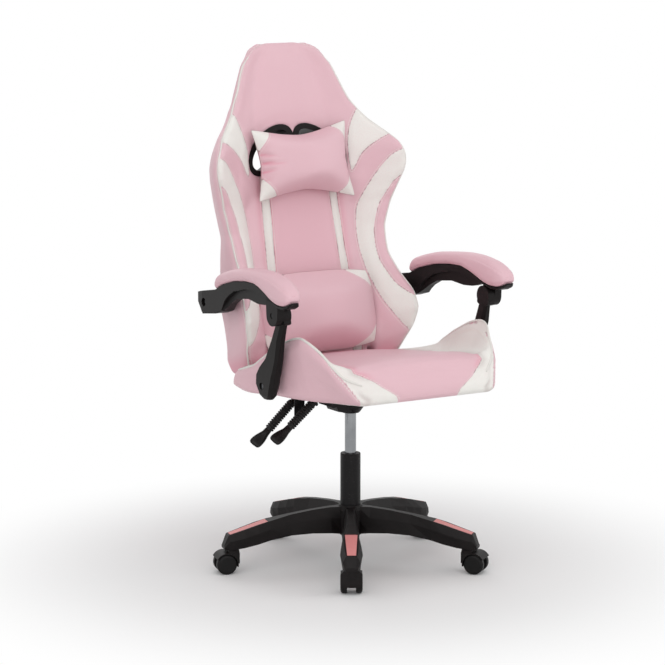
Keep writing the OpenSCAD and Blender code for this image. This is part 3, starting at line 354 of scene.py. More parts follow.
def softened(points, mesh, rounds, share=0.5, regain=0.0):  # evens the skin, regain keeps its volume
    pairs = np.empty(len(mesh.edges) * 2, np.int32)
    mesh.edges.foreach_get("vertices", pairs)
    a, b = pairs.reshape(-1, 2).T
    count = len(points)
    degree = np.bincount(a, minlength=count) + np.bincount(b, minlength=count)
    for _ in range(rounds):
        for pull in (share, -regain) if regain else (share,):
            total = np.stack([np.bincount(a, points[b, k], count) + np.bincount(b, points[a, k], count)
                              for k in range(3)], 1)
            points = points + pull * (total / degree[:, None] - points)
    return points


farAway = 60.0  # millimetres, where no seam or panel is near
plainSkin = {"seamNear": 40.0, "seamAlong": 0.0, "panelEdge": -20.0, "fold": 0.0, "stitched": 0.0}


def store(mesh, **layers):  # one number a point, for the finishes
    for name, values in layers.items():
        layer = mesh.attributes.get(name) or mesh.attributes.new(name, "FLOAT", "POINT")
        layer.data.foreach_set("value", np.broadcast_to(values, len(mesh.vertices)).astype(np.float32))


def applyModifiers(piece):
    old = piece.data
    evaluated = piece.evaluated_get(bpy.context.evaluated_depsgraph_get())
    piece.data = bpy.data.meshes.new_from_object(evaluated)
    piece.modifiers.clear()
    bpy.data.meshes.remove(old)


def addPiece(name, mesh, finish, body=None):
    piece = bpy.data.objects.new(name, mesh)
    bpy.context.collection.objects.link(piece)
    mesh.materials.clear()
    mesh.materials.append(finishes[finish])
    mesh.polygons.foreach_set("use_smooth", np.ones(len(mesh.polygons), bool))
    if body:
        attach(piece, body)
    return piece


def reshaped(name, node, body, change, corner=32):  # a rigid solid's own mesh, drawn to a truer form
    mesh = nodes[node].data.copy()
    for layer in [a for a in mesh.attributes if a.name in ("custom_normal", "sharp_edge", "sharp_face")]:
        mesh.attributes.remove(layer)
    piece = bpy.data.objects.new(name, mesh)
    bpy.context.collection.objects.link(piece)
    writePoints(mesh, change(readPoints(mesh)))
    mesh.polygons.foreach_set("use_smooth", np.ones(len(mesh.polygons), bool))
    mesh.set_sharp_from_angle(angle=math.radians(corner))
    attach(piece, body)
    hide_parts(node)
    return piece


def padBlank(name, node, voxel):  # an even skin over the rigid solid's shape
    piece = addPiece(name, nodes[node].data.copy(), "pinkLeather")
    remesh = piece.modifiers.new("even", "REMESH")
    remesh.mode, remesh.voxel_size = "VOXEL", voxel
    applyModifiers(piece)
    return piece


def finishPad(piece, body, node):
    mesh = piece.data
    mesh.polygons.foreach_set("use_smooth", np.ones(len(mesh.polygons), bool))
    mesh.update()
    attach(piece, body)
    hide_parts(node)


def addPiping(name, path, radius, body):  # a thin tube along a path, narrower at its ends
    sides, endShare, anyDirection = 10, 0.55, (0.3, 0.2, 0.93)
    count = len(path)
    ahead = np.roll(path, -1, 0) - np.roll(path, 1, 0)
    ahead[0], ahead[-1] = path[1] - path[0], path[-1] - path[-2]
    ahead /= np.linalg.norm(ahead, axis=1)[:, None]
    side = np.cross(ahead[0], anyDirection)
    points = []
    for i in range(count):
        side = side - ahead[i] * (side @ ahead[i])
        side /= np.linalg.norm(side)
        other = np.cross(ahead[i], side)
        width = radius if 0 < i < count - 1 else radius * endShare
        for k in range(sides):
            turn = 2 * math.pi * k / sides
            points.append(path[i] + width * (math.cos(turn) * side + math.sin(turn) * other))
    faces = []
    for i in range(count - 1):
        for k in range(sides):
            a, b = i * sides + k, i * sides + (k + 1) % sides
            faces.append((a, b, b + sides, a + sides))
    faces.append(tuple(range(sides))[::-1])
    faces.append(tuple((count - 1) * sides + k for k in range(sides)))
    mesh = bpy.data.meshes.new(name)
    mesh.from_pydata([tuple(p) for p in points], [], faces)
    mesh.update()
    store(mesh, **plainSkin)
    addPiece(name, mesh, "whiteLeather", body)


print("camera and light")
studio = {
    "eye": (-3.287, -5.269, 1.61), "turn": 31.55, "tilt": 9.44, "lens": 139.5,
    "world": 0.66, "floorTone": 0.86, "floorReach": 14.0, "floorFade": (0.45, 1.1),
    # Place, aim and width in metres, and power
    "lamps": {
        "keyLamp": ((-4.2, -4.3, 3.4), (0, 0, 0.6), 3.4, 56.0),
        "fillLamp": ((3.4, -2.2, 1.8), (0, 0, 0.6), 2.6, 22.0),
        "backLamp": ((0.6, 3.6, 2.8), (0, 0, 0.7), 2.4, 14.0),
        "lowLamp": ((-1.6, -5.4, 0.9), (0, 0, 0.75), 3.2, 34.0),
        "topLamp": ((-0.5, -1.8, 5.4), (0, -0.05, 0.6), 4.2, 50.0),
    },
}
camera = bpy.data.objects.new("camera", bpy.data.cameras.new("camera"))
bpy.context.collection.objects.link(camera)
camera.location = studio["eye"]
camera.rotation_euler = (math.radians(90 - studio["tilt"]), 0, -math.radians(studio["turn"]))
camera.data.lens, camera.data.sensor_width = studio["lens"], 36.0
camera.data.clip_end = 60.0
bpy.context.scene.camera = camera
bpy.context.scene.view_settings.view_transform = "Standard"


def addLamp(name, place, aim, width, power):
    lamp = bpy.data.lights.new(name, "AREA")
    lamp.shape, lamp.size, lamp.energy = "DISK", width, power
    piece = bpy.data.objects.new(name, lamp)
    bpy.context.collection.objects.link(piece)
    piece.location = place
    away = np.array(place, float) - np.array(aim, float)
    turn = math.atan2(away[0], -away[1])
    piece.rotation_euler = (math.acos(away[2] / np.linalg.norm(away)), 0, turn)


for name, setting in studio["lamps"].items():
    addLamp(name, *setting)

world = bpy.data.worlds.new("studioWorld")
bpy.context.scene.world = world
world.use_nodes = True
background = world.node_tree.nodes["Background"]
seen = rayShare(Wire(world.node_tree), "Is Camera Ray", "Is Glossy Ray", "Is Transmission Ray")
world.node_tree.links.new((seen * (1 - studio["world"]) + studio["world"]).out, background.inputs["Strength"])
background.inputs["Color"].default_value = (1, 1, 1, 1)


def addFloor():  # a pale floor that fades to white away from the chair
    mesh = bpy.data.meshes.new("floor")
    reach = studio["floorReach"]
    mesh.from_pydata([(-reach, -reach, 0), (reach, -reach, 0), (reach, reach, 0), (-reach, reach, 0)],
                     [], [(0, 1, 2, 3)])
    floor = bpy.data.objects.new("floor", mesh)
    bpy.context.collection.objects.link(floor)
    material = bpy.data.materials.new("floorPaint")
    material.use_nodes = True
    tree = material.node_tree
    shader = tree.nodes["Principled BSDF"]
    shader.inputs["Base Color"].default_value = (studio["floorTone"],) * 3 + (1,)
    shader.inputs["Roughness"].default_value = 0.9
    shader.inputs["Specular IOR Level"].default_value = 0.1
    wire = Wire(tree)
    place = wire.make("ShaderNodeTexCoord", out="Object")
    far = wire.make("ShaderNodeVectorMath", {"operation": "LENGTH"}, {0: place}, "Value")
    white = wire.make("ShaderNodeEmission", None, {"Color": (1, 1, 1, 1), "Strength": 1.0})
    share = far.step(*studio["floorFade"]) * rayShare(wire, "Is Camera Ray", "Is Glossy Ray")
    mixed = wire.make("ShaderNodeMixShader", None, {0: share, 1: Wire(tree, shader.outputs[0]), 2: white})
    tree.links.new(mixed.out, tree.nodes["Material Output"].inputs["Surface"])
    mesh.materials.append(material)


addFloor()

backFrame = {"y": 0.1408, "z": 0.470, "lean": 13.5}
leanSin, leanCos = math.sin(math.radians(backFrame["lean"])), math.cos(math.radians(backFrame["lean"]))


def toBack(points):  # across, up along the back, forward of its plane
    y, z = points[:, 1] - backFrame["y"], points[:, 2] - backFrame["z"]
    return points[:, 0], y * leanSin + z * leanCos, z * leanSin - y * leanCos


def fromBack(x, s, d):
    return np.stack([np.broadcast_to(x, np.shape(s)),
                     backFrame["y"] + s * leanSin - d * leanCos,
                     backFrame["z"] + s * leanCos + d * leanSin], -1)


print("back cushion")
backLook = {
    "voxel": 0.0045, "smooth": 60, "regain": 0.48, "lift": 0.0022, "rearLift": 0.4, "pinch": 0.0042,
    "topRise": 0.0035, "piping": 0.0021, "pipingLean": 48, "perSpan": 6,
    # paintedShadeLine and paintedShadeWidth place the painted shade in the hollow beside each wing, in
    # millimetres across
    "frontDepth": 28, "rearDepth": 62, "rearInset": 40, "paintedShadeLine": 116, "paintedShadeWidth": 13,
    # Half of the shell: height, half width and reach of the wing's edge, half width at the rear
    "edge": [(2, 196, 6, 208), (39, 224, 40, 231), (79, 242, 77, 229), (123, 251, 97, 231),
             (165, 249, 89, 234), (215, 233, 59, 228), (270, 220, 34, 220), (345, 223, 20, 206),
             (407, 236, 28, 213), (444, 250, 47, 217), (483, 266, 70, 219), (516, 268, 83, 218),
             (545, 259, 83, 208), (584, 236, 61, 181), (625, 199, 37, 155), (667, 166, 19, 131),
             (716, 145, 14, 109), (766, 123, 13, 87), (800, 93, 10, 70), (816, 56, 1, 52)],
    # Off-white panels on each wing: across and up the back
    "shoulder": [(262, 600), (228, 640), (186, 645), (163, 612), (149, 570), (145, 530), (150, 486),
                 (176, 526), (206, 550), (238, 566), (268, 574)],
    "band": [(290, 530), (262, 524), (236, 511), (208, 478), (180, 434), (162, 393), (157, 346), (156, 300),
             (160, 250), (167, 205), (177, 160), (193, 120), (212, 88), (235, 62), (262, 30), (300, 60),
             (300, 150), (258, 147), (236, 158), (215, 184), (200, 222), (192, 255), (190, 290), (195, 340),
             (206, 384), (224, 420), (247, 452), (275, 466), (300, 480)],
    # Off-white stripes: height and inner edge of each, width, and where they start and end
    "stripe": [(30, 101), (100, 100), (215, 96), (300, 92), (430, 87), (500, 86)], "stripeWidth": 23,
    "stripeHeight": (30, 500),
    "channel": (0.150, 0.024, 0.015),  # middle, width and depth of the hollow beside a wing
    # How far the edge of a wing is drawn out and forward, up the back
    "draw": [(300, 1, 2), (347, 4, 7), (389, 8, 13), (431, 11, 18), (473, 11, 18), (500, 8, 13), (536, 5, 8),
             (560, 2, 3), (585, -2, -2), (605, -4, -3), (625, -2, -1), (650, 2, 2), (700, 4, 5), (760, 5, 5),
             (800, 7, 4), (816, 7, 2)],
    "hole": (70.5, 550, 39.9, 68, 31, 15),  # centre, turn, half axes and rim of a strap hole
}


def backFields(points):
    x, s, d = (v * 1000 for v in toBack(points))
    ax = np.abs(x)
    edgeX, edgeD, rearX = readTable(backLook["edge"], s, 1, 2, 3)
    outward, forward = readTable(backLook["draw"], s, 1, 2)
    edgeX, edgeD = edgeX + outward, edgeD + forward
    runX = edgeX - 2 - (rearX - backLook["rearInset"])
    runD = edgeD - 1 + backLook["rearDepth"]
    length = np.hypot(runX, runD)
    side = ((ax - edgeX + 2) * runD - (d - edgeD + 1) * runX) / length  # over 0 on the side panel
    flat = np.stack([ax, s], 1)
    front = d > -backLook["frontDepth"]
    along, pinch = np.zeros(len(s)), np.zeros(len(s))
    seam, edges = np.full(len(s), farAway), np.full(len(s), farAway)
    white = -seam
    for key in ("shoulder", "band"):
        outline = closedSpline(backLook[key], backLook["perSpan"])
        away, run = lineDistance(flat, outline, True)
        inside = np.where(insideOutline(flat, outline), away, -away)
        white = np.maximum(white, inside)
        away = away + farAway * smoothStep(-4, 0, side)
        seam, along = np.where(away < seam, away, seam), np.where(away < seam, run, along)
        pinch = np.maximum(pinch, 0.45 * np.exp(-(away / 7) ** 2))
    low, high = backLook["stripeHeight"]
    within = smoothStep(low - 8, low, s) * (1 - smoothStep(high, high + 8, s))
    nearEdge, = readTable(backLook["stripe"], s, 1)
    half = backLook["stripeWidth"] / 2
    for at, depth, width in ((nearEdge, 0.9, 8.0), (nearEdge + 2 * half, 1.3, 10.0)):
        away = np.abs(ax - at) + 50 * (1 - within)
        seam, along = np.where(away < seam, away, seam), np.where(away < seam, s, along)
        pinch = np.maximum(pinch, depth * np.exp(-(away / width) ** 2))
        edges = np.minimum(edges, away)
    white = np.maximum(white, np.minimum(half - np.abs(ax - nearEdge - half), 50 * within - 25))
    white = np.minimum(white, -side - 1.5)
    away = np.abs(side)
    pinch = np.maximum(pinch, 0.8 * np.exp(-(away / 8) ** 2))
    seam, along = np.where(away < seam, away, seam), np.where(away < seam, s, along)
    white = np.where(front, white, -farAway)
    seam = np.where(front | ((away < 20) & (ax > edgeX - 45)), seam, farAway)
    cx, cs, turn, a, b, rim = backLook["hole"]
    c, n = math.cos(math.radians(turn)), math.sin(math.radians(turn))
    u, v = (ax - cx) * c - (s - cs) * n, (ax - cx) * n + (s - cs) * c
    ring = (np.hypot(u / (a + rim), v / (b + rim)) - 1) * (b + rim)
    still = 1 - smoothStep(4, 26, ring)
    return x, s, side, seam, along, white, pinch, still, front, edges


def drawnWings(points):
    x, s, d = toBack(points)
    edgeX, = readTable(np.array(backLook["edge"]) / 1000, s, 1)
    share = smoothStep(0.70, 0.97, np.abs(x) / edgeX) * smoothStep(-0.045, 0.0, d)
    outward, forward = (v * share for v in readTable(np.array(backLook["draw"]) / 1000, s, 1, 2))
    rise = backLook["topRise"] * smoothStep(0.780, 0.814, s)
    at, width, deep = backLook["channel"]
    forward = forward - deep * np.exp(-((np.abs(x) - at) / width) ** 2) * smoothStep(0.06, 0.15, s) \
        * (1 - smoothStep(0.40, 0.47, s)) * smoothStep(-0.03, 0.0, d)
    return fromBack(x + np.sign(x) * outward, s + rise, d + forward)


def buildBack():
    piece = padBlank("backCushion", "back_cushion", backLook["voxel"])
    mesh = piece.data
    points = softened(readPoints(mesh), mesh, backLook["smooth"], 0.5, backLook["regain"])
    points = drawnWings(points)
    writePoints(mesh, points)
    x, s, side, seam, along, white, pinch, still, front, edges = backFields(points)
    rise = backLook["lift"] * (1 - still) * np.where(front | (side > 0), 1.0, backLook["rearLift"])
    rise -= backLook["pinch"] * pinch * (1 - still) * np.where(front, 1.0, 0.0)
    points = points + readNormals(mesh) * rise[:, None]
    writePoints(mesh, softened(points, mesh, 1, 0.35))
    # Painted shade: deeper pink in the hollow beside each wing, low on the back above the seat, along the
    # stripe edges and in the middle between the pillows
    away = np.maximum(np.abs(np.abs(x) - backLook["paintedShadeLine"]) - 2, 0) / backLook["paintedShadeWidth"]
    fold = 0.45 * np.exp(-away ** 2) * smoothStep(20, 60, s) * (1 - smoothStep(440, 520, s))
    fold = np.maximum(fold, 0.8 * (1 - smoothStep(10, 70, s)))
    fold = np.maximum(fold, 0.9 * np.exp(-(edges / 2.6) ** 2) * front)
    middle = (1 - smoothStep(80, 110, np.abs(x))) * smoothStep(230, 260, s) * (s < 470)
    fold = np.maximum(fold, 0.28 * middle)
    store(mesh, seamNear=seam, seamAlong=along, panelEdge=white, fold=fold,
          stitched=np.where(front, 1.0, 0.0))
    finishPad(piece, "back", "back_cushion")
    return piece


def crestPath(points, stations, key, sign, lean):  # runs along a cover's outermost edge
    path = []
    for at in stations:
        near = np.abs(key[0] - at) < 0.0032
        near &= sign * points[:, 0] > 0.03
        score = np.abs(points[:, 0]) * math.cos(lean) + key[1] * math.sin(lean)
        chosen = np.where(near, score, -9)
        best = chosen.argsort()[-3:]
        path.append(points[best].mean(0))
    path = np.array(path)
    for _ in range(3):
        path[1:-1] = path[1:-1] * 0.5 + (path[:-2] + path[2:]) * 0.25
    return path


backPoints = readPoints(buildBack().data)
_, upBack, outBack = toBack(backPoints)
for sign, name in ((-1, "right"), (1, "left")):
    path = crestPath(backPoints, np.arange(0.012, 0.800, 0.008), (upBack, outBack), sign,
                     math.radians(backLook["pipingLean"]))
    path[-5:, 0] -= sign * np.linspace(0, 0.007, 5)  # the upper end dips into the cushion
    addPiping(name + "BackPiping", path, backLook["piping"], "back")

print("seat cushion")
seatLook = {
    "voxel": 0.0045, "smooth": 60, "regain": 0.48, "lift": 0.0020, "pinch": 0.0042, "tuck": 0.0034,
    "crown": 0.004, "steep": 16, "underTop": 458, "underInner": 462, "innerTurn": 0.42,
    "piping": 0.0032, "pipingLean": 58,
    # Along the seat: crest of the wing across and up, under edge across and up, foot of the wing
    "wing": [(119, 238, 487, 226, 467, 190), (108, 254, 497, 245, 457, 195), (60, 258, 509, 253, 455, 199),
             (20, 260, 521, 255, 455, 201), (-20, 260, 545, 253, 455, 200), (-63, 258, 571, 247, 455, 198),
             (-118, 256, 597, 237, 455, 191), (-160, 254, 612, 226, 456, 185),
             (-190, 253, 618, 217, 457, 180), (-222, 244, 606, 206, 459, 175),
             (-260, 232, 581, 194, 461, 172), (-291, 220, 551, 188, 463, 170),
             (-314, 204, 523, 183, 465, 166), (-334, 190, 495, 180, 466, 142),
             (-345, 180, 479, 175, 471, 120)],
    # Half width of the pink top: place down over the front edge, half width
    "topSeam": [(-609, 192), (-570, 198), (-467, 197), (-347, 190), (-311, 184), (-288, 180), (-258, 179),
                (-239, 180), (-222, 168), (-206, 156), (-189, 141), (-173, 129), (-154, 108), (-140, 90),
                (-123, 80)],
}


def seatFields(points, normals):
    x, y, z = (points * 1000).T
    ax = np.abs(x)
    crestX, crestZ, lowX, lowZ, footX = readTable(seatLook["wing"][::-1], y, 1, 2, 3, 4, 5)
    lowX = (lowX + footX) / 2
    runX, runZ = crestX - lowX, crestZ - lowZ
    side = ((ax - crestX) * runZ - (z - crestZ) * runX) / np.hypot(runX, runZ)
    inner = (normals[:, 0] * np.sign(x) < seatLook["innerTurn"]) & (z > seatLook["underInner"])
    side = np.where(inner, -np.maximum(np.abs(side), 0.5 * np.abs(crestX - ax)), side)
    onFront = 1 - smoothStep(-334, -316, y)
    half, = readTable(seatLook["topSeam"], -y - z, 1)
    beyond = (ax - half) * np.where(-y - z > -235, 0.75, 1.0)
    upper = z > seatLook["underTop"]
    return x, y, z, side, beyond, onFront, upper


def steeperWings(points):  # the inner face of a wing falls steeply from its crest to the seat
    x, y, z = (points * 1000).T
    crestX, crestZ, footX = readTable(seatLook["wing"][::-1], y, 1, 2, 5)
    bins = np.arange(-340, 130, 10)
    ax, level = np.abs(x), np.zeros(len(bins))
    for k, at in enumerate(bins):
        near = (np.abs(y - at) < 8) & (ax < footX - 8) & (ax > footX - 30) & (z > 470)
        level[k] = np.percentile(z[near], 75) if near.any() else 470
    level = np.convolve(np.pad(level, 2, "edge"), np.ones(5) / 5, "valid")
    ground = np.interp(y, bins, level)
    inward = np.clip(crestX - ax, 0, None)
    fall = np.exp(-(inward / seatLook["steep"]) ** 1.5)
    wanted = ground - 1.5 + (crestZ - ground) * fall
    top = smoothStep(478, 492, z) * smoothStep(1, 3, inward) * smoothStep(footX - 8, footX - 2, ax)
    top = top * smoothStep(ground, ground + 26, crestZ)
    points = points.copy()
    points[:, 2] += np.minimum(wanted - z, 0) * top / 1000
    return points


def fullerCorners(points):  # the low rear corners and the front ends of the wings
    x, y, z = (points * 1000).T
    low = smoothStep(-70, 50, y) * (1 - smoothStep(462, 498, z))
    tip = np.exp(-((y + 215) / 45) ** 2) * smoothStep(575, 605, z)
    points = points.copy()
    points[:, 2] -= 0.0080 * low
    points[:, 0] += np.sign(x) * (0.0075 * low + 0.004 * tip)
    points[:, 1] += 0.006 * low * smoothStep(90, 119, y)
    points[:, 1] -= 0.004 * tip
    return points


def buildSeat():
    piece = padBlank("seatCushion", "seat_cushion", seatLook["voxel"])
    mesh = piece.data
    points = softened(readPoints(mesh), mesh, seatLook["smooth"], 0.5, seatLook["regain"])
    points = fullerCorners(steeperWings(points))
    writePoints(mesh, points)
    normals = readNormals(mesh)
    x, y, z, side, beyond, onFront, upper = seatFields(points, normals)
    strip = 6 * smoothStep(-250, -290, y) - 0.5
    near = np.minimum(np.abs(side - strip), np.abs(beyond))
    pinch = np.maximum(0.8 * np.exp(-(side / 8) ** 2), np.exp(-(beyond / 11) ** 2) * (1 - 0.5 * onFront))
    under = 1 - smoothStep(-0.6, -0.2, normals[:, 2])
    tuck = np.exp(-((side + 7) / 3.5) ** 2) * smoothStep(-262, -290, y) * smoothStep(474, 486, z)
    tuck = tuck * (1 - smoothStep(492, 520, z))
    rise = (seatLook["lift"] - seatLook["pinch"] * pinch - seatLook["tuck"] * tuck) * (1 - under)
    crown = seatLook["crown"] * (1 - smoothStep(60, 190, np.abs(x))) * smoothStep(0.5, 0.9, normals[:, 2])
    points = points + normals * (rise + crown * np.where(side < 0, 1, 0))[:, None]
    writePoints(mesh, softened(points, mesh, 1, 0.35))
    white = np.where((side < strip) & upper, np.minimum(beyond, strip - side), -20.0)
    # Painted shade: deeper pink along the top seam, towards the rear under the back, and at the tuck below
    # each wing's crest
    fold = 0.7 * np.exp(-(beyond / 14) ** 2) * (1 - onFront) + 0.8 * smoothStep(40, 110, y) * (side < 0)
    fold += 0.8 * np.exp(-((side + 7) / 5) ** 2) * (1 - smoothStep(486, 512, z)) * upper
    store(mesh, seamNear=np.where(under > 0.5, farAway, near), seamAlong=np.where(onFront > 0.5, z, y),
          panelEdge=white, fold=np.clip(fold, 0, 1), stitched=1 - under)
    finishPad(piece, "seat", "seat_cushion")
    return piece


seatPoints = readPoints(buildSeat().data)
for sign, name in ((-1, "right"), (1, "left")):
    path = crestPath(seatPoints, np.arange(0.100, -0.338, -0.008), (seatPoints[:, 1], seatPoints[:, 2]),
                     sign, math.radians(seatLook["pipingLean"]))
    addPiping(name + "SeatPiping", path, seatLook["piping"], "seat")

print("pillows")
clothLook = {
    "pressure": 4.0, "frames": 20, "mass": 0.2, "stretch": 20, "shear": 5, "bend": 0.5, "quality": 5,
    "swell": 0.006, "quickSwell": 0.046, "smooth": 14,
}
# Per pillow: place up the back, half size of the flat cut, corners and how far the sides dip between them,
# depths of the seam, front and rear, off-white corners, and puckers as start, end and depth
pillowLook = {
    "headPillow": {
        "node": "head_pillow", "s": 510, "cut": (142, 90), "cell": 0.0052, "fill": 0.7,
        "corners": ((-141, -96), (147, -97), (-141, 95), (145, 109)), "power": 1.55, "blunt": 5,
        "dip": {"left": 19, "right": 19, "low": 29, "high": 30},
        "seam": 32, "front": 66, "rear": 22, "sag": 0, "white": (56, 62),
        "puckers": [(-122, -20, -82, -12, 4.0), (-118, 2, -72, -4, 5.0), (-120, 24, -86, 14, 3.4),
                    (-126, -42, -104, -37, 2.2), (124, 8, 98, 2, 1.8), (126, -22, 102, -16, 1.5)],
    },
    "lumbarPillow": {
        "node": "lumbar_pillow", "s": 143, "cut": (172, 110), "cell": 0.0060, "fill": 0.9,
        "corners": ((-163, -94), (146, -94), (-163, 88), (146, 88)), "power": 3.0, "blunt": 0,
        "dip": {"left": -12, "right": -14, "low": -14, "high": -10},
        "seam": 34, "front": 70, "rear": 27, "sag": 16, "white": (80, 58),
        "puckers": [(146, 30, 118, 22, 0.9), (146, -34, 120, -24, 0.9)],
    },
}


def pillowBlank(name, look):  # two flat sheets joined along their edges
    halfU, halfV = (v / 1000 for v in look["cut"])
    countU, countV = round(2 * halfU / look["cell"]), round(2 * halfV / look["cell"])
    u, v = np.meshgrid(np.linspace(-1, 1, countU + 1), np.linspace(-1, 1, countV + 1), indexing="ij")
    swell = clothLook["swell"] * np.sqrt((1 - u ** 2) * (1 - v ** 2))
    front = np.stack([u * halfU, v * halfV, swell], -1).reshape(-1, 3)
    index = np.arange(u.size).reshape(u.shape)
    inner = np.zeros(u.shape, bool)
    inner[1:-1, 1:-1] = True
    behind = index.copy()
    behind[inner] = u.size + np.arange(inner.sum())
    points = np.vstack([front, front[inner.ravel()] * (1, 1, -1)])
    faces = []
    for i in range(countU):
        for j in range(countV):
            faces.append((index[i, j], index[i + 1, j], index[i + 1, j + 1], index[i, j + 1]))
            faces.append((behind[i, j], behind[i, j + 1], behind[i + 1, j + 1], behind[i + 1, j]))
    mesh = bpy.data.meshes.new(name)
    mesh.from_pydata([tuple(p) for p in points], [], [tuple(int(k) for k in face) for face in faces])
    mesh.update()
    flatU = np.concatenate([u.ravel(), u[inner]])
    flatV = np.concatenate([v.ravel(), v[inner]])
    return mesh, flatU, flatV, index


def inflate(piece):
    cloth = piece.modifiers.new("swell", "CLOTH")
    rules = cloth.settings
    rules.use_pressure, rules.uniform_pressure_force = True, clothLook["pressure"]
    rules.effector_weights.gravity = 0
    rules.quality, rules.mass, rules.bending_stiffness = (clothLook[k] for k in ("quality", "mass", "bend"))
    rules.tension_stiffness = rules.compression_stiffness = clothLook["stretch"]
    rules.shear_stiffness = clothLook["shear"]
    cloth.point_cache.frame_start, cloth.point_cache.frame_end = 1, clothLook["frames"]
    for step in range(1, clothLook["frames"] + 1):
        bpy.context.scene.frame_set(step)
    applyModifiers(piece)
    bpy.context.scene.frame_set(1)
    return readPoints(piece.data)


def buildPillow(name):
    look = pillowLook[name]
    mesh, flatU, flatV, index = pillowBlank(name, look)
    piece = addPiece(name, mesh, "pinkLeather")
    points = inflate(piece)
    mesh = piece.data
    depth = softened(points, mesh, clothLook["smooth"])[:, 2]
    depth = depth / np.abs(depth).max()
    (u0, v0), (u1, v1), (u2, v2), (u3, v3) = look["corners"]
    right, high = (flatU + 1) / 2, (flatV + 1) / 2
    mix = ((1 - right) * (1 - high), right * (1 - high), (1 - right) * high, right * high)
    u = sum(m * k for m, k in zip(mix, (u0, u1, u2, u3)))
    v = sum(m * k for m, k in zip(mix, (v0, v1, v2, v3)))
    pullU, pullV = (1 - np.abs(t) ** look["power"] for t in (flatV, flatU))
    u += pullU * (look["dip"]["left"] * (1 - right) - look["dip"]["right"] * right) * np.abs(flatU)
    v += pullV * (look["dip"]["low"] * (1 - high) - look["dip"]["high"] * high) * np.abs(flatV)
    tip = look["blunt"] * np.abs(flatU * flatV) ** 9
    u, v = u - np.sign(flatU) * tip, v - np.sign(flatV) * tip
    v -= look["sag"] * np.clip(depth, 0, 1) * (1 - smoothStep(-1.0, 0.6, flatV))
    d = look["seam"] + np.where(depth > 0, depth * look["front"], depth * look["rear"])
    place = fromBack(u / 1000, (v + look["s"]) / 1000, d / 1000)
    writePoints(mesh, place)
    pointing = readNormals(mesh)
    turned = pointing @ np.array([0, -leanCos, leanSin])
    if turned[index.ravel()].mean() < 0:
        mesh.flip_normals()
        pointing, turned = -pointing, -turned
    crease, puckerWidth = np.zeros(len(u)), 4.5
    for ua, va, ub, vb, deep in look["puckers"]:
        away, run = lineDistance(np.stack([u, v], 1), np.array([(ua, va), (ub, vb)], float))
        length = math.hypot(ub - ua, vb - va)
        crease += deep * np.exp(-(away / puckerWidth) ** 2) * (1 - run / length * 0.8)
        crease -= 0.5 * deep * np.exp(-(away / puckerWidth - 2) ** 2) * (1 - run / length)
    ahead = smoothStep(-0.1, 0.3, turned)
    place = place - pointing * (crease * ahead / 1000)[:, None]
    writePoints(mesh, softened(place, mesh, 1, 0.3))
    legU, legV = look["white"]
    cutU, cutV = (1 - np.abs(flatU)) * look["cut"][0], (1 - np.abs(flatV)) * look["cut"][1]
    white = (1 - cutU / legU - cutV / legV) * legU * legV / math.hypot(legU, legV)
    rim = np.minimum(cutU, cutV)
    # Painted shade: deeper pink in the puckers and on the faces turned away from the front
    fold = np.clip(crease * 0.25 * ahead + 0.5 * (1 - smoothStep(-0.2, 0.35, turned)), 0, 1)
    store(mesh, seamNear=np.minimum(np.abs(white), rim), seamAlong=u + v, panelEdge=white, fold=fold,
          stitched=0.6)
    finer = piece.modifiers.new("finer", "SUBSURF")
    finer.levels = finer.render_levels = 1
    applyModifiers(piece)
    finishPad(piece, "back", look["node"])


for name in pillowLook:
    buildPillow(name)

print("arm pads")
padLook = {"voxel": 0.0035, "smooth": 16, "lift": 0.0010, "droop": 0.011, "droopFrom": (0.30, 0.95),
           "underShade": 0.25}


def buildArmPad(side):
    node = side + "_arm_pad"
    piece = padBlank(side + "ArmPad", node, padLook["voxel"])
    mesh = piece.data
    points = softened(readPoints(mesh), mesh, padLook["smooth"])
    lowest, highest = (np.array(corner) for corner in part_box(node))
    forward = (highest[1] - points[:, 1]) / (highest[1] - lowest[1])
    upper = smoothStep(-0.2, 0.5, readNormals(mesh)[:, 2])
    points[:, 2] -= padLook["droop"] * smoothStep(*padLook["droopFrom"], forward) * upper
    writePoints(mesh, points)
    normals = readNormals(mesh)
    points = points + normals * (padLook["lift"] * (normals[:, 2] > -0.3))[:, None]
    writePoints(mesh, points)
    # Painted shade: deeper pink on the underside of the pad
    shade = padLook["underShade"] * (1 - smoothStep(-0.5, 0.1, normals[:, 2]))
    store(mesh, **dict(plainSkin, fold=shade))
    finishPad(piece, side + "_arm", node)


for side in ("right", "left"):
    buildArmPad(side)

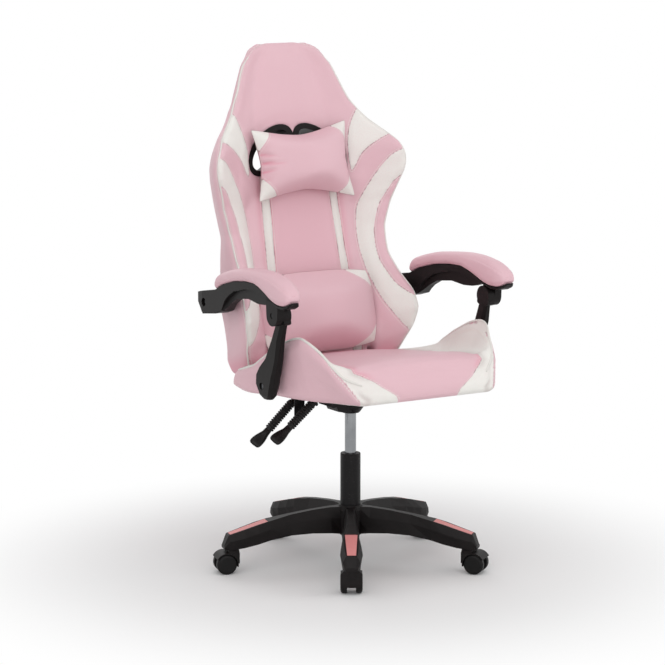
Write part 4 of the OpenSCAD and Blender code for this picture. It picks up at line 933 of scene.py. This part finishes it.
print("levers and legs")
leverLook = {
    "thick": 1.25, "turn": 52, "sides": 24, "stations": 33, "corner": 0.72, "cap": 0.0012,
    # Across the seat, slope and length up to the bend, slope and length after it, in metres and degrees
    "height": (0.0, 26.0, 0.0435, 39.2, 0.084), "recline": (0.055, 20.3, 0.0693, 42.5, 0.089),
    # Along a paddle: place, half width, half thickness, drop below the lever's line
    "paddle": [(-0.004, 0.0072, 0.0066, 0.0), (0.0, 0.0086, 0.0078, 0.0), (0.010, 0.0092, 0.0078, 0.0),
               (0.019, 0.0116, 0.0066, -0.001), (0.029, 0.0140, 0.0056, -0.0025),
               (0.039, 0.0152, 0.0050, -0.004), (0.047, 0.0152, 0.0047, -0.005),
               (0.0525, 0.0136, 0.0040, -0.0055), (0.0550, 0.0104, 0.0026, -0.0055)],
}
armLook = {
    # Neck of a leg: height, middle along the seat, share of the solid's width, shift to the rear
    "neck": [(457, -97, 1.0, 0), (555, -123, 1.05, 0), (580, -137.5, 1.40, 3), (605, -144.5, 1.65, 3),
             (648, -159, 1.38, 0), (656, -162, 1.0, 0)],
    # Where its outer face moves outward: height and share
    "outward": [(555, 0), (580, 1), (615, 1), (636, 0)], "outwardBy": 0.003, "outerFace": 288,
    "longer": 0.013, "longerFrom": (0.208, 0.228),
}


def leverLine(kind):  # pivot, bend and end of a lever
    across, slopeA, longA, slopeB, longB = leverLook[kind]
    x, _, z = np.mean(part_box("lever_pins"), 0)
    line = [np.array((x, across, z))]
    for slope, length in ((slopeA, longA), (slopeB, longB)):
        turn = math.radians(slope)
        line.append(line[-1] + length * np.array((-math.cos(turn), 0, -math.sin(turn))))
    return line


def thicker(kind):
    line = leverLine(kind)

    def change(points):
        best = np.full(len(points), 9.0)
        foot = np.zeros_like(points)
        for a, b in zip(line[:-1], line[1:]):
            along = np.clip((points - a) @ (b - a) / ((b - a) @ (b - a)), 0, 1)
            spot = a + along[:, None] * (b - a)
            away = np.linalg.norm(points - spot, axis=1)
            foot = np.where((away < best)[:, None], spot, foot)
            best = np.minimum(best, away)
        share = 1 + (leverLook["thick"] - 1) * smoothStep(0.0045, 0.0060, best)
        return foot + (points - foot) * share[:, None]
    return change


def buildPaddle(kind):
    line = leverLine(kind)
    ahead = (line[2] - line[1]) / np.linalg.norm(line[2] - line[1])
    upward = np.cross(ahead, (0, 1, 0))
    upward *= np.sign(upward[2])
    turn = math.radians(leverLook["turn"])
    wide = math.cos(turn) * np.array((0.0, 1, 0)) + math.sin(turn) * upward
    flat = np.cross(ahead, wide)
    rows = np.array(leverLook["paddle"])
    stations = np.linspace(0, len(rows) - 1, leverLook["stations"])
    rows = np.stack([np.interp(stations, np.arange(len(rows)), column) for column in rows.T], 1)
    rows[1:-1] = rows[1:-1] * 0.5 + (rows[:-2] + rows[2:]) * 0.25
    sides = leverLook["sides"]
    angles = 2 * math.pi * np.arange(sides) / sides
    c, n = np.cos(angles), np.sin(angles)
    roundC, roundN = (np.sign(t) * np.abs(t) ** leverLook["corner"] for t in (c, n))
    points = np.vstack([line[2] + ahead * at + np.outer(roundC, wide) * half + np.outer(roundN, flat) * thin
                        - np.array((0, 0, drop)) for at, half, thin, drop in rows])
    count = len(rows)
    points = np.vstack([points, points[:sides].mean(0), points[-sides:].mean(0) + ahead * leverLook["cap"]])
    ring = [(k, (k + 1) % sides) for k in range(sides)]
    faces = [(i * sides + a, i * sides + b, (i + 1) * sides + b, (i + 1) * sides + a)
             for i in range(count - 1) for a, b in ring]
    faces += [(b, a, count * sides) for a, b in ring]
    last = (count - 1) * sides
    faces += [(last + a, last + b, count * sides + 1) for a, b in ring]
    mesh = bpy.data.meshes.new(kind + "Paddle")
    mesh.from_pydata([tuple(p) for p in points], [], faces)
    paddle = addPiece(kind + "Paddle", mesh, "glossPlastic", kind + "_lever_arm")
    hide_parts(kind + "_lever_paddle")


def widerNeck(points):  # a leg narrows less below its elbow
    x, y, z = (points * 1000).T
    middle, widen, shift = readTable(armLook["neck"], z, 1, 2, 3)
    outward, = readTable(armLook["outward"], z, 1)
    points = points.copy()
    points[:, 0] += np.sign(x) * armLook["outwardBy"] * outward * (np.abs(x) > armLook["outerFace"])
    points[:, 1] = (middle + (y - middle) * widen + shift) / 1000
    return points


def longerEnd(points):  # the rear end of a bracket
    points = points.copy()
    points[:, 1] += armLook["longer"] * smoothStep(*armLook["longerFrom"], points[:, 1])
    return points


for kind in ("height", "recline"):
    reshaped(kind + "Sleeve", kind + "_lever_sleeve", kind + "_lever_arm", thicker(kind), 50)
    buildPaddle(kind)
for side in ("right", "left"):
    reshaped(side + "Leg", side + "_arm_leg", side + "_leg", widerNeck)
    reshaped(side + "Bracket", side + "_arm_bracket", side + "_arm", longerEnd)

print("rear panel")
panelLook = {
    "voxel": 0.004, "smooth": 5, "lift": 0.0008, "groove": 0.0016, "grooveWidth": 7,
    "seams": (250, 500), "grow": 0.008, "growFrom": (655, 785),
}


def buildRearPanel():
    piece = padBlank("rearPanel", "back_panel", panelLook["voxel"])
    mesh = piece.data
    points = softened(readPoints(mesh), mesh, panelLook["smooth"])
    writePoints(mesh, points)
    normals = readNormals(mesh)
    x, s, _ = (v * 1000 for v in toBack(points))
    facing = np.array([0, leanCos, -leanSin])
    rear = smoothStep(0.3, 0.8, normals @ facing)
    edge = normals - np.outer(normals @ facing, facing)
    grow = panelLook["grow"] * smoothStep(*panelLook["growFrom"], s) * (1 - rear)
    points = points + edge * grow[:, None]
    lines = [np.array([(-200, at), (200, at)], float) for at in panelLook["seams"]]
    away = np.min([lineDistance(np.stack([x, s], 1), line)[0] for line in lines], 0)
    groove = panelLook["groove"] * np.exp(-(away / panelLook["grooveWidth"]) ** 2)
    points = points + normals * (rear * (panelLook["lift"] - groove))[:, None]
    writePoints(mesh, points)
    # Painted shade: a little deeper pink over the whole panel
    store(mesh, seamNear=np.where(rear > 0.3, away, farAway), seamAlong=x, panelEdge=-20.0, fold=0.15,
          stitched=rear)
    finishPad(piece, "back", "back_panel")


buildRearPanel()

print("done")
